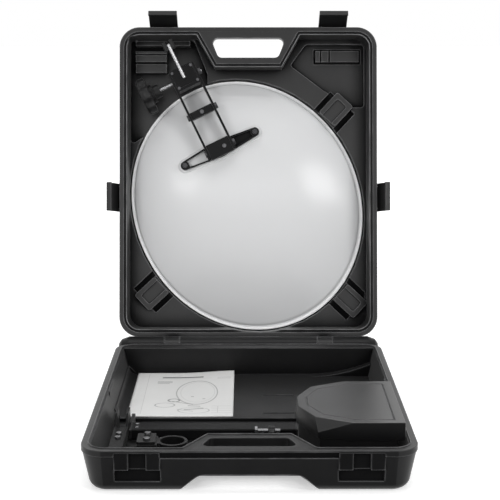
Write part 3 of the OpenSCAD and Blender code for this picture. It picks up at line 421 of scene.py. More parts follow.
class MaterialGraph(Graph):
    """Nodes of a new material, which has its shader and Object coordinates."""

    def __init__(self, name: str) -> None:
        """Starts the material."""
        self.material = bpy.data.materials.new(name)
        self.material.use_nodes = True
        super().__init__(self.material.node_tree)
        self.shader = self.tree.nodes["Principled BSDF"]
        self.coords = self.add("TexCoord")

    @property
    def place(self) -> Socket:
        """Point in the part's frame, in metres."""
        return self.coords.outputs["Object"]

    @property
    def facing(self) -> list[Socket]:
        """Parts of the surface's normal along X, Y and Z."""
        return self.axes(self.add("NewGeometry").outputs["Normal"])

    def finish(self, **inputs: object) -> bpy.types.Material:
        """Puts values or sockets into the shader, with _ for a space, and gives the material."""
        for key, value in inputs.items():
            self.put(self.shader, key.replace("_", " "), value)
        return self.material

    def noise(self, scale: float, detail: float = 2.0) -> Socket:
        """Noise of about 1/scale metres."""
        return self.add("TexNoise", Vector=self.place, Scale=scale, Detail=detail).outputs["Fac"]

    def between(self, fac: Socket, low: float, high: float) -> Socket:
        """Number that runs from low to high over the noise's usual band."""
        return self.remap(fac, NOISE_BAND, (low, high))

    def tint(self, fac: Socket, low: Triple, high: Triple) -> Socket:
        """Colour that runs from low to high over the noise's usual band."""
        ramp = self.add("ValToRGB", Fac=fac)
        for stop, at, colour in zip(ramp.color_ramp.elements, NOISE_BAND, (low, high)):
            stop.position, stop.color = at, (*colour, 1)
        return ramp.outputs["Color"]

    def closeness(self, distance: float, inside: bool = False) -> Socket:
        """1 where nothing of the piece is near, outside it or in its own solid, down to 0."""
        settings = {"samples": 8, "inside": inside, "only_local": True}
        return self.add("AmbientOcclusion", settings, Distance=distance).outputs["AO"]

    def bump(self, height: Socket, distance: float) -> Socket:
        """Normal of a relief of the given height in metres."""
        return self.add("Bump", Height=height, Distance=distance, Strength=1.0).outputs["Normal"]


@dataclass(frozen=True)
class Moulding:
    """Black moulded plastic with a fine pebble grain, pale edges that are a painted highlight
    made patchy like rubbed wear, and gloss painted out in hollows as painted shade.

    Edges are where the solid is thinner than edge, hollows are where the open space is narrower
    than nook, both in metres. Grain and blotch are noise scales, as is the scale of the patches
    of the painted edge highlight.
    """

    name: str
    low: Triple = (0.0040, 0.0040, 0.0042)
    high: Triple = (0.0065, 0.0065, 0.0068)
    edge_highlight: Triple = (0.13, 0.13, 0.133)
    rough: Span = (0.32, 0.42)
    grain: float = 1400.0
    relief: float = 0.00005
    blotch: float = 18.0
    highlight_patch: float = 45.0
    highlight_patch_least: float = 0.35
    shine: float = 0.20
    haze: float = 0.12
    haze_rough: float = 0.3
    edge: float = 0.0008
    edge_limits: Span = (0.92, 0.50)
    nook: float = 0.030
    nook_limits: Span = (0.50, 0.96)
    nook_least: float = 0.02

    def gloss_after_painted_shade(self, g: MaterialGraph) -> Socket:
        """Share of gloss kept: 1 in the open, down to nearly 0 in narrow hollows, as painted shade.
        """
        return g.remap(g.closeness(self.nook), self.nook_limits, (self.nook_least, 1.0))

    def material(self) -> bpy.types.Material:
        """Makes the material."""
        g = MaterialGraph(self.name)
        grain = g.noise(self.grain, 1.0)
        # Pale edges: a painted highlight where the solid is thin, made patchy like rubbed wear.
        edge_highlight_mask = g.remap(g.closeness(self.edge, inside=True), self.edge_limits)
        highlight_patch = g.between(g.noise(self.highlight_patch, 3.0), self.highlight_patch_least, 1.0)
        patchy_highlight = g.math("MULTIPLY", edge_highlight_mask, highlight_patch)
        plain = g.tint(g.noise(self.blotch, 3.0), self.low, self.high)
        return g.finish(
            Base_Color=g.mix(patchy_highlight, plain, self.edge_highlight),
            Roughness=g.between(grain, *self.rough),
            Specular_IOR_Level=self.shine,
            # Gloss painted out in hollows: painted shade.
            Specular_Tint=self.gloss_after_painted_shade(g),
            Sheen_Weight=self.haze,
            Sheen_Roughness=self.haze_rough,
            Normal=g.bump(grain, self.relief),
        )


@dataclass(frozen=True)
class ShadedFrontMoulding(Moulding):
    """Black plastic whose gloss is painted out in the groove and the pockets of the drafted front
    wall, as painted shade.

    The wall is y = wall[0] - wall[1] z. The plates in the pockets lie within plates[1] of
    y = plates[0]. Faces count as the front's by the limits of their normal and their place.
    """

    wall: Span = (-0.2356, 0.207)
    sunk: Span = (0.0010, 0.0018)
    sunk_shade: Span = (0.60, 0.93)
    plates: Span = (-0.2455, 0.0003)
    plates_shade: float = 0.85
    ahead_limit: float = -0.9
    aside_limit: float = 0.17
    front_limit: float = -0.225

    def gloss_after_painted_shade(self, g: MaterialGraph) -> Socket:
        """As for plain plastic, with more painted shade on front faces, most of all behind the
        wall.
        """
        _, y, z = g.axes(g.place)
        aside, ahead, _ = g.facing
        depth = g.math("ADD", y, g.math("MULTIPLY_ADD", z, self.wall[1], -self.wall[0]))
        plates = g.math("MULTIPLY", g.math("COMPARE", y, *self.plates), self.plates_shade)
        # Painted shade: gloss taken away behind the wall and on the plates in the pockets.
        painted_shade = g.math("MAXIMUM", g.remap(depth, self.sunk, self.sunk_shade), plates)
        tests = (
            (ahead, self.ahead_limit),
            (g.math("ABSOLUTE", aside), self.aside_limit),
            (y, self.front_limit),
        )
        for value, limit in tests:
            painted_shade = g.math("MULTIPLY", painted_shade, g.math("LESS_THAN", value, limit))
        return g.math("MULTIPLY", super().gloss_after_painted_shade(g), g.math("SUBTRACT", 1.0, painted_shade))


@dataclass(frozen=True)
class TopLitMoulding(Moulding):
    """Black plastic whose gloss is painted out on upright faces as painted shade, so that level
    faces look lit.
    """

    level_limits: Span = (0.3, 0.95)
    level_least: float = 0.12

    def gloss_after_painted_shade(self, g: MaterialGraph) -> Socket:
        """As for plain plastic, with painted shade where a face stands upright."""
        # Painted shade: gloss painted out on upright faces.
        level = g.remap(g.facing[2], self.level_limits, (self.level_least, 1.0))
        return g.math("MULTIPLY", super().gloss_after_painted_shade(g), level)


@dataclass(frozen=True)
class PowderCoat:
    """Light grey powder coat with a soft orange peel. Blotch, patch and peel are noise scales."""

    name: str
    low: Triple = (0.628, 0.632, 0.640)
    high: Triple = (0.642, 0.646, 0.652)
    rough: Span = (0.18, 0.22)
    shine: float = 0.26
    blotch: float = 9.0
    patch: float = 60.0
    peel: float = 420.0
    relief: float = 0.00002

    def colour(self, g: MaterialGraph) -> Socket:
        """Grey that varies a little from place to place."""
        return g.tint(g.noise(self.blotch, 3.0), self.low, self.high)

    def material(self) -> bpy.types.Material:
        """Makes the material."""
        g = MaterialGraph(self.name)
        return g.finish(
            Base_Color=self.colour(g),
            Roughness=g.between(g.noise(self.patch), *self.rough),
            Specular_IOR_Level=self.shine,
            Normal=g.bump(g.noise(self.peel), self.relief),
        )


@dataclass(frozen=True)
class RimmedCoat(PowderCoat):
    """Powder coat with a painted highlight on the rolled edge and painted shade in the crease
    beside it.
    """

    # Colours painted on: a highlight on the rolled edge and shade in the crease.
    bright: Triple = (0.86, 0.86, 0.865)
    crease_shade_colour: Triple = (0.36, 0.36, 0.365)
    crease_shade: float = 0.6
    rim: float = 0.1800
    rim_soft: float = 0.0004
    crease: float = 0.1780
    crease_w: float = 0.0016

    def colour(self, g: MaterialGraph) -> Socket:
        """Grey by the distance s = |(p - c) x b| from the beam's axis, through c along b."""
        beam = FRAMES.dish() @ FRAMES.beam_in_dish()
        centre, along = (beam @ (FRAMES.offset, 0, 0, 1))[:3], beam[:3, 2]
        arm = g.vector("SUBTRACT", g.place, tuple(centre))
        s = g.vector("LENGTH", g.vector("CROSS_PRODUCT", arm, tuple(along)))
        # Painted shade along the crease, then a painted highlight on the rolled edge.
        off = g.math("ABSOLUTE", g.math("SUBTRACT", s, self.crease))
        crease_shade = g.remap(off, (0.0, self.crease_w), (self.crease_shade, 0.0))
        edge = g.remap(s, (self.rim - self.rim_soft, self.rim + self.rim_soft))
        return g.mix(edge, g.mix(crease_shade, super().colour(g), self.crease_shade_colour), self.bright)


@dataclass(frozen=True)
class Metal:
    """Bare, plated or cast metal with fine marks and dull patches, which are noise scales."""

    name: str
    low: Triple = (0.62, 0.63, 0.65)
    high: Triple = (0.78, 0.79, 0.80)
    rough: Span = (0.20, 0.34)
    patch: float = 220.0
    marks: float = 1800.0
    relief: float = 0.00002

    def material(self) -> bpy.types.Material:
        """Makes the material."""
        g = MaterialGraph(self.name)
        patch = g.noise(self.patch, 4.0)
        return g.finish(
            Base_Color=g.tint(patch, self.low, self.high),
            Metallic=1.0,
            Roughness=g.between(patch, *self.rough),
            Normal=g.bump(g.noise(self.marks), self.relief),
        )


@dataclass(frozen=True)
class Pages:
    """Block of paper, with the faint lines of stacked sheets. Blotch and patch are noise scales."""

    name: str
    low: Triple = (0.72, 0.72, 0.71)
    high: Triple = (0.78, 0.78, 0.77)
    rough: Span = (0.42, 0.52)
    blotch: float = 30.0
    patch: float = 200.0
    sheets: float = 420.0
    relief: float = 0.0001

    def material(self) -> bpy.types.Material:
        """Makes the material."""
        g = MaterialGraph(self.name)
        wave = g.add("TexWave", {"bands_direction": "Z"}, Vector=g.place, Scale=self.sheets)
        return g.finish(
            Base_Color=g.tint(g.noise(self.blotch, 4.0), self.low, self.high),
            Roughness=g.between(g.noise(self.patch), *self.rough),
            Normal=g.bump(wave.outputs["Fac"], self.relief),
        )


@dataclass(frozen=True)
class CoverPrint:
    """White cover with a plain line drawing of an oval dish, on the sheet's own UV map.

    Bars are (x, y, half length, half width, degrees, ink), ovals are (x, y, radius, radius,
    half width, ink), all in millimetres from the sheet's near left corner, with ink from 0 to 1.
    """

    name: str
    sheet: Span = (148.0, 210.0)
    low: Triple = (0.86, 0.86, 0.85)
    high: Triple = (0.89, 0.89, 0.88)
    black: Triple = (0.02, 0.02, 0.022)
    rough: Span = (0.40, 0.50)
    blotch: float = 30.0
    patch: float = 200.0
    fibre: float = 900.0
    relief: float = 0.00001
    soft: float = 0.25
    bars: tuple = (
        (70, 184, 31, 2.3, 0, 0.90), (74, 177, 40, 0.3, 0, 0.35), (44, 163, 11, 0.9, 0, 0.60),
        (44, 158.5, 11, 0.9, 0, 0.50), (42, 154, 9, 0.9, 0, 0.50), (133, 178, 10, 0.5, 0, 0.40),
        (133, 173, 10, 0.5, 0, 0.40), (18, 105, 0.25, 96, 0, 0.25), (75, 58, 17, 0.8, -27, 0.55),
        (92, 44, 9, 1.0, -8, 0.60), (92, 30, 14, 1.2, 12, 0.60), (80, 24, 12, 0.7, -20, 0.45),
        (131, 44, 14, 0.35, 0, 0.35), (131, 34, 14, 0.35, 0, 0.30), (131, 24, 14, 0.35, 0, 0.30),
        (131, 14, 14, 0.35, 0, 0.30), (126, 29, 0.3, 15, 0, 0.30), (88, 88, 2.0, 1.0, 0, 0.55),
        (105, 78, 2.0, 1.0, 0, 0.55),
    )
    ovals: tuple = (
        (94, 108, 30, 56, 0.7, 0.42), (95, 110, 25, 48, 0.35, 0.16), (62, 70, 8, 7, 1.1, 0.60),
        (50, 48, 14, 10, 0.6, 0.45), (92, 24, 22, 13, 0.5, 0.35),
    )

    def own(self, g: MaterialGraph, x: float, y: float, **change: Triple) -> Socket:
        """Point of the sheet in a form's own frame, which lies at x, y and is turned or scaled."""
        point = g.vector("MULTIPLY", g.coords.outputs["UV"], (*self.sheet, 0.0))
        settings = {"vector_type": "TEXTURE"}
        return g.add("Mapping", settings, Vector=point, Location=(x, y, 0.0), **change).outputs[0]

    def mask(self, g: MaterialGraph, distance: Socket, half: float) -> Socket:
        """1 where a distance is below half, with a soft edge."""
        return g.remap(distance, (half, half + self.soft), (1.0, 0.0))

    def bar(self, g: MaterialGraph, x: float, y: float, length: float, width: float,
            degrees: float) -> Socket:
        """Mask of a bar: |x| < length and |y| < width in its own turned frame."""
        own = self.own(g, x, y, Rotation=(0.0, 0.0, math.radians(degrees)))
        across = g.axes(g.vector("ABSOLUTE", own))
        return g.math("MINIMUM", self.mask(g, across[0], length), self.mask(g, across[1], width))

    def oval(self, g: MaterialGraph, x: float, y: float, rx: float, ry: float,
             half: float) -> Socket:
        """Mask of an oval's line: where the length in units of the radii is near 1."""
        length = g.vector("LENGTH", self.own(g, x, y, Scale=(rx, ry, 1.0)))
        away = g.math("ABSOLUTE", g.math("SUBTRACT", length, 1.0))
        return self.mask(g, g.math("MULTIPLY", away, min(rx, ry)), half)

    def material(self) -> bpy.types.Material:
        """Makes the material: a point takes the strongest ink of the forms that cover it."""
        g = MaterialGraph(self.name)
        forms = [(self.bar, row) for row in self.bars] + [(self.oval, row) for row in self.ovals]
        most = 0.0
        for form, (*shape, ink) in forms:
            most = g.math("MAXIMUM", most, g.math("MULTIPLY", form(g, *shape), ink))
        paper = g.tint(g.noise(self.blotch, 4.0), self.low, self.high)
        return g.finish(
            Base_Color=g.mix(most, paper, self.black),
            Roughness=g.between(g.noise(self.patch), *self.rough),
            Normal=g.bump(g.noise(self.fibre), self.relief),
        )


@dataclass(frozen=True)
class Reflector:
    """Offset reflector with a rolled edge, and the raised pad under the bracket's foot.

    The pad's rows are how far each stands outside the foot's outline and above the sheet, in
    millimetres.
    """

    sheet: float = 0.0012
    sheet_rings: int = 40
    band: float = 0.003
    band_half_h: float = 0.003
    band_gap: float = 0.0003
    band_points: int = 17
    band_power: float = 0.55
    bead: float = 0.0016
    bead_w: float = 0.0045
    bead_lead: float = 0.001
    bead_rings: int = 13
    around: int = 288
    foot_at: float = 0.098911
    foot_half: float = 0.062
    foot_points: int = 60
    end_r: float = 0.007
    end_points: int = 20
    mid_r: float = 0.0135
    pad_rows: tuple = (
        (-20.0, -0.4), (-3.0, -0.4), (0.0, -0.4), (4.6, -0.4), (4.3, 0.15), (4.0, 0.7),
        (3.7, 1.2), (3.2, 1.45), (2.0, 1.5), (0.0, 1.5), (-3.0, 1.5), (-20.0, 1.5),
    )

    @property
    def rim(self) -> float:
        """Distance from the beam's axis at which the sheet meets the edge."""
        return FRAMES.radius - self.band - self.band_gap

    def ring(self, radius: np.ndarray) -> tuple[np.ndarray, np.ndarray]:
        """Grids of x and y on circles of the given radii about the beam's axis."""
        a = angles(self.around)
        return FRAMES.offset + radius[:, None] * np.cos(a), radius[:, None] * np.sin(a)

    def skin(self, radius: np.ndarray, drop: float) -> np.ndarray:
        """Grid of points on the paraboloid with its bead.

        Args:
            radius: Distances from the beam's axis.
            drop: How far the points are moved back along the beam.

        Returns:
            The points, one row for each radius.
        """
        x, y = self.ring(radius)
        t = np.clip((radius - self.rim + self.bead_w) / self.bead_w, 0, 1)
        bead = self.bead * np.sin(math.pi * t) ** 2
        return np.stack([x, y, (x**2 + y**2) / (4 * FRAMES.focal) - drop + bead[:, None]], -1)

    def rolled_edge(self) -> np.ndarray:
        """Grid of points on the rounded band that follows the plane of the edge."""
        up = np.linalg.inv(FRAMES.beam_in_dish()[:3, :3]) @ (0, 0, 1)
        t = np.linspace(math.pi, -math.pi, self.band_points)
        half = self.band / 2
        radius = FRAMES.radius - half + half * squared(np.cos(t), self.band_power)
        height = self.band_half_h * squared(np.sin(t), self.band_power)
        x, y = self.ring(radius)
        slope = math.tan(math.radians(FRAMES.tilt))
        plane = np.stack([x, y, FRAMES.edge_level + slope * (x - FRAMES.offset)], -1)
        return plane + height[:, None, None] * up

    def bowl(self) -> bpy.types.Object:
        """Sheet and edge in one closed surface.

        A point of the sheet is (c + s cos a, s sin a, (x^2 + y^2) / 4f), with s from 0 to the
        edge, first on the back and then on the front, and a bead that is a squared sine of s runs
        beside the edge.

        Returns:
            The piece.
        """
        flat = np.linspace(0, self.rim - self.bead_w - self.bead_lead, self.sheet_rings)
        s = np.concatenate([flat, self.rim - self.bead_w * np.linspace(1, 0, self.bead_rings)])
        back, front = self.skin(s, self.sheet), self.skin(s[::-1], 0.0)
        points = np.concatenate([back, self.rolled_edge()[1:-1], front])
        return surface("reflector_bowl", placed(points, FRAMES.dish() @ FRAMES.beam_in_dish()))

    def back_level(self, x: np.ndarray, y: np.ndarray) -> np.ndarray:
        """Height of the back above the edge's plane: the near root of the paraboloid's quadratic.

        Args:
            x: Sideways places in the reflector's frame.
            y: Places along the reflector's long axis.

        Returns:
            Heights, in the shape of x.
        """
        four_f = 4 * FRAMES.focal
        to_beam = np.linalg.inv(FRAMES.beam_in_dish())
        p = placed(np.stack([x, y, np.zeros_like(x)], -1), to_beam)
        d = to_beam[:3, 2]
        qa = d[0] ** 2 + d[1] ** 2
        qb = 2 * (p[..., 0] * d[0] + p[..., 1] * d[1]) - four_f * d[2]
        qc = p[..., 0] ** 2 + p[..., 1] ** 2 - four_f * (p[..., 2] + self.sheet)
        root = np.sqrt(qb**2 - 4 * qa * qc)
        return -2 * qc / (qb + np.sign(qb) * root)

    def outline(self, grow: np.ndarray) -> tuple[np.ndarray, np.ndarray]:
        """Long hexagon with round ends, grown sideways.

        The half width at x is the end's radius plus the share (1 - |x| / half) of what the middle
        has more.

        Args:
            grow: How far each row stands outside the foot's own outline.

        Returns:
            Grids of x and y, one row for each value of grow.
        """
        x = np.linspace(-1, 1, self.foot_points) * self.foot_half
        w = self.end_r + (self.mid_r - self.end_r) * (1 - np.abs(x) / self.foot_half)
        q = np.linspace(0, math.pi, self.end_points)[1:-1]
        side, end = np.ones_like(x), np.ones_like(q)
        base_x = np.concatenate([x, self.foot_half * end, x[::-1], -self.foot_half * end])
        out_x = np.concatenate([0 * side, np.sin(q), 0 * side, -np.sin(q)])
        out_y = np.concatenate([side, np.cos(q), -side, -np.cos(q)])
        width = np.concatenate([w, self.end_r * end, w[::-1], self.end_r * end])
        reach = np.maximum(width + grow[:, None], 0.0)
        return base_x + reach * out_x, reach * out_y

    def pad(self) -> bpy.types.Object:
        """Pad: rows of the foot's outline that spread in the sheet, climb and close on top."""
        grow, lift = np.array(self.pad_rows).T * MM
        x, y = self.outline(grow)
        y = y + self.foot_at
        z = self.back_level(x, y) + lift[:, None]
        return surface("reflector_pad", placed(np.stack([x, y, z], -1), FRAMES.dish()))

    def build(self, coat: bpy.types.Material) -> None:
        """Builds and dresses both pieces."""
        dressed(stands_for(self.bowl(), "reflector"), coat)
        pad = self.pad()
        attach(pad, frame["nodes"]["reflector"]["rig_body"])
        dressed(pad, coat)


@dataclass(frozen=True)
class Thread:
    """Threaded bar along X or Y of the reflector's frame, with tapered ends."""

    node: str
    start: Triple
    along: int
    length: float
    radius: float = 0.003
    pitch: float = 0.001
    depth: float = 0.00045
    taper: float = 0.001
    end_share: float = 0.72
    around: int = 20
    rows_per_pitch: int = 5

    def build(self, metal: bpy.types.Material) -> None:
        """Bar whose radius is a triangle wave: r - d |2 frac(z / p - a / 2 pi) - 1|."""
        a = angles(self.around)
        rows = int(self.length / self.pitch * self.rows_per_pitch) + 1
        z = np.linspace(0, self.length, rows)
        phase = (z[:, None] / self.pitch - a / FULL_TURN) % 1.0
        full = np.minimum(np.minimum(z, self.length - z) / self.taper, 1.0)[:, None]
        share = self.end_share + (1 - self.end_share) * full
        r = (self.radius - self.depth * np.abs(2 * phase - 1)) * share
        r = np.pad(r, ((1, 1), (0, 0)))
        z = np.pad(z, 1, mode="edge")
        points = np.zeros((*r.shape, 3))
        points[..., self.along] = z[:, None]
        points[..., (self.along + 1) % 3] = r * np.cos(a)
        points[..., (self.along + 2) % 3] = r * np.sin(a)
        place = placed(points + np.array(self.start), FRAMES.dish())
        dressed(stands_for(surface(self.node + "_thread", place), self.node), metal)


@dataclass(frozen=True)
class HandWheel:
    """Lobed hand wheel on the tilt axle, whose outer radii follow the scallops."""

    inner: float = 0.04475
    at: float = 0.225911
    height: float = 0.034077
    radius: float = 0.031
    hub: float = 0.01116
    collar: float = 0.0155
    bore: float = 0.00305
    lobes: int = 6
    scallop: float = 0.009
    scallop_out: float = 0.55
    scallop_from: Span = (0.0168, 0.027)
    around: int = 252
    soft: int = 6

    def edge(self, a: np.ndarray) -> np.ndarray:
        """Outer radius at each angle, as a share of the wheel's radius.

        At the angle d from a scallop's middle, its circle stands at
        c cos d - sqrt(q^2 - c^2 sin^2 d).

        Args:
            a: Angles round the axle, evenly spaced over a full turn.

        Returns:
            The share, softened where a lobe ends.
        """
        step = FULL_TURN / self.lobes
        d = a % step - step / 2
        c = self.radius + self.scallop_out * self.scallop
        inside = np.maximum(self.scallop**2 - (c * np.sin(d)) ** 2, 0)
        edge = np.where(inside > 0, c * np.cos(d) - np.sqrt(inside), self.radius)
        edge = np.pad(np.minimum(edge, self.radius), self.soft, mode="wrap")
        kernel = np.hanning(2 * self.soft + 1)
        return np.convolve(edge, kernel / kernel.sum(), "valid") / self.radius

    def profile(self) -> np.ndarray:
        """Radius and distance from the wheel's inner end, from the bore round to the outer face."""
        bore, hub, collar, out = (v / MM for v in (self.bore, self.hub, self.collar, self.radius))
        return MM * np.array([
            (0, 21.5), (bore, 21.5), (bore, 0.4), (bore + 0.4, 0),
            (hub - 0.6, 0), (hub - 0.15, 0.25), (hub, 0.9), (hub, 9.6), (hub + 0.3, 10.2),
            (hub + 1, 10.5), (collar - 0.6, 10.5), (collar - 0.1, 10.8), (collar, 11.4),
            (collar, 15.5), (collar + 0.4, 16.2), (collar + 1.3, 16.5),
            (27.6, 16.55), (29.6, 17), (30.6, 17.9), (out, 19.5), (out, 26), (30.6, 27.4),
            (29.6, 28.6), (27.4, 30.8), (26.2, 31.7), (24.5, 32), (20, 31.6), (12, 31.2),
            (8, 31.2), (7.6, 32), (4, 32), (0, 32),
        ])

    def build(self, plastic: bpy.types.Material) -> None:
        """Wheel turned from its profile (r, z): r (1 - h + h e(a)), where h rises with r."""
        a = angles(self.around)
        profile = self.profile()
        share = smooth(profile[:, 0], *self.scallop_from)[:, None]
        r = profile[:, :1] * (1 - share + share * self.edge(a))
        points = np.zeros((*r.shape, 3))
        points[..., 0] = -self.inner - profile[:, 1:]
        points[..., 1] = self.at + r * np.sin(a)
        points[..., 2] = self.height + r * np.cos(a)
        piece = surface("tilt_knob_wheel", placed(points, FRAMES.dish()))
        dressed(stands_for(piece, "tilt_knob"), plastic)


@dataclass(frozen=True)
class Booklet:
    """Stapled booklet: a block of pages under a cover that curls a little at its far corner."""

    leaf: float = 0.0003
    cover_share: float = 0.8
    cover_gap: float = 0.00005
    cover_grid: tuple[int, int] = (50, 70)
    curl: float = 0.004
    curl_from: Span = (0.35, 0.3)
    curl_power: float = 1.5
    block_grid: tuple[int, int] = (40, 48)
    spine_power: float = 0.12
    side_power: float = 0.5

    def pages(self, low: np.ndarray, size: np.ndarray) -> bpy.types.Object:
        """Block of pages: a squared oval in x and z, drawn out along y and closed at both ends.

        Args:
            low: Lowest corner of the block.
            size: Size of the block.

        Returns:
            The piece.
        """
        rows, cols = self.block_grid
        t = angles(cols)
        loop = np.zeros((rows, cols, 3))
        loop[..., 0] = 0.5 + 0.5 * squared(np.cos(t), self.spine_power)
        loop[..., 1] = np.linspace(0, 1, rows)[:, None]
        loop[..., 2] = 0.5 + 0.5 * squared(np.sin(t), self.side_power)
        caps = loop[[0, -1]].copy()
        caps[..., 0], caps[..., 2] = 0.5, 0.5
        points = np.concatenate([caps[:1], loop, caps[1:]])
        return surface("booklet_pages", low + size * points)

    def cover(self, low: np.ndarray, size: np.ndarray) -> bpy.types.Object:
        """Cover sheet: a plane whose far corner rises by a soft step of x times one of y.

        Args:
            low: Lowest corner of the block under it.
            size: Size of the block.

        Returns:
            The piece, with a UV map that runs over the sheet.
        """
        u, w = np.meshgrid(*(np.linspace(0, 1, n) for n in self.cover_grid), indexing="ij")
        corner = smooth(u, self.curl_from[0], 1.0) * smooth(w, self.curl_from[1], 1.0)
        rise = self.curl * corner**self.curl_power
        top = low[2] + size[2] + self.cover_gap + rise
        grid = np.stack([low[0] + size[0] * u, low[1] + size[1] * w, top], -1)
        sheet = surface("booklet_cover", grid, closed=False)
        points = np.zeros(len(sheet.data.vertices) * 3)
        sheet.data.vertices.foreach_get("co", points)
        used = np.zeros(len(sheet.data.loops), int)
        sheet.data.loops.foreach_get("vertex_index", used)
        flat = (points.reshape(-1, 3)[:, :2] - low[:2]) / size[:2]
        uv = sheet.data.uv_layers.new(name="UVMap")
        uv.data.foreach_set("uv", flat[used].ravel())
        solid = sheet.modifiers.new("thickness", "SOLIDIFY")
        solid.thickness = self.leaf * self.cover_share
        solid.offset = 0
        return sheet

    def build(self, paper: bpy.types.Material, printed: bpy.types.Material) -> None:
        """Builds and dresses the page block and the cover sheet."""
        low, high = (np.array(c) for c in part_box("booklet"))
        size = high - low - (0, 0, self.leaf)
        dressed(stands_for(self.pages(low, size), "booklet"), paper)
        sheet = self.cover(low, size)
        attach(sheet, frame["nodes"]["booklet"]["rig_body"])
        dressed(sheet, printed)


def aimed(place: Triple, direction: Vector) -> Matrix:
    """Matrix of a camera or a lamp at a place that looks along a direction."""
    return Matrix.Translation(place) @ direction.to_track_quat("-Z", "Y").to_matrix().to_4x4()


@dataclass(frozen=True)
class Lamp:
    """Rectangular soft lamp at a place, aimed at a point."""

    name: str
    place: Triple
    aim: Triple
    size: Span
    watts: float

    def build(self) -> None:
        """Puts the lamp into the scene."""
        data = bpy.data.lights.new(self.name, "AREA")
        data.shape = "RECTANGLE"
        data.size, data.size_y = self.size
        data.energy = self.watts
        lamp = linked(self.name, data)
        lamp.matrix_world = aimed(self.place, Vector(self.aim) - Vector(self.place))


LAMPS = (
    Lamp("top_lamp", (0.0, -0.3, 2.4), (0.0, 0.0, 0.2), (1.8, 1.0), 16),
    Lamp("high_lamp", (0.0, -3.2, 1.40), (0.0, 0.3, 0.3), (3.0, 0.7), 19),
    Lamp("low_lamp", (0.0, -3.0, 0.42), (0.0, 0.3, 0.2), (3.6, 1.1), 16),
    Lamp("left_lamp", (-0.976, -1.334, 0.934), (-0.1, 0.35, 0.3), (0.42, 0.42), 6.2),
    Lamp("right_lamp", (1.176, -1.179, 1.016), (0.12, 0.35, 0.3), (0.50, 0.50), 10.5),
    Lamp("back_lamp", (0.0, 2.4, 2.6), (0.0, 0.8, 0.1), (2.6, 1.4), 50),
    Lamp("left_fill", (-3.2, 0.4, 0.9), (0.0, 0.2, 0.25), (1.8, 1.2), 10),
    Lamp("right_fill", (3.2, 0.4, 0.9), (0.0, 0.2, 0.25), (1.8, 1.2), 10),
)


@dataclass(frozen=True)
class Studio:
    """Pale floor, soft lamps, white surroundings and the camera.

    The floor's glow runs over floor_glow as the distance from the part's origin runs over
    floor_reach, so that the floor is white where no shadow lies on it.
    """

    pitch: float = 10.99
    yaw: float = 0.213
    place: Triple = (-0.005, -1.72655, 0.58796)
    focal_px: float = 1301.6
    picture_px: float = 500.0
    sensor_mm: float = 36.0
    far: float = 60.0
    ambient: float = 0.22
    floor_half: float = 14.0
    floor_colour: Triple = (0.86, 0.86, 0.86)
    floor_rough: float = 0.9
    floor_reach: Span = (0.5, 3.5)
    floor_glow: Span = (0.46, 0.90)

    def camera(self) -> None:
        """Camera at the viewing angle of the picture, for a square frame."""
        data = bpy.data.cameras.new("camera")
        data.sensor_width = self.sensor_mm
        data.lens = self.focal_px / self.picture_px * self.sensor_mm
        data.clip_end = self.far
        camera = linked("camera", data)
        p, y = math.radians(self.pitch), math.radians(self.yaw)
        level = math.cos(p)
        forward = Vector((math.sin(y) * level, math.cos(y) * level, -math.sin(p)))
        camera.matrix_world = aimed(self.place, forward)
        bpy.context.scene.camera = camera

    @staticmethod
    def seen(g: Graph) -> Socket:
        """1 for rays that show the surroundings: from the camera, off gloss and through glass."""
        path = g.add("LightPath").outputs
        gloss = g.math("MAXIMUM", path["Is Camera Ray"], path["Is Glossy Ray"])
        return g.math("MAXIMUM", gloss, path["Is Transmission Ray"])

    def world(self) -> None:
        """White surroundings, which light the part softly."""
        world = bpy.data.worlds.new("surroundings")
        bpy.context.scene.world = world
        world.use_nodes = True
        g = Graph(world.node_tree)
        light = g.tree.nodes["Background"]
        g.put(light, "Color", WHITE)
        g.put(light, "Strength", g.remap(self.seen(g), (0.0, 1.0), (self.ambient, 1.0)))

    def floor(self) -> None:
        """Pale floor that is white where no shadow lies on it."""
        h = self.floor_half
        points = np.array([[(-h, -h, 0), (h, -h, 0)], [(-h, h, 0), (h, h, 0)]], float)
        floor = surface("floor", points, closed=False)
        g = MaterialGraph("floor_white")
        glow = g.remap(g.vector("LENGTH", g.place), self.floor_reach, self.floor_glow)
        material = g.finish(
            Base_Color=(*self.floor_colour, 1.0),
            Roughness=self.floor_rough,
            Emission_Color=WHITE,
            Emission_Strength=g.math("MULTIPLY", self.seen(g), glow),
        )
        floor.data.materials.append(material)

    def build(self) -> None:
        """Sets the camera, the surroundings, the floor and the lamps."""
        bpy.context.scene.view_settings.view_transform = "Standard"
        self.camera()
        self.world()
        self.floor()
        for lamp in LAMPS:
            lamp.build()


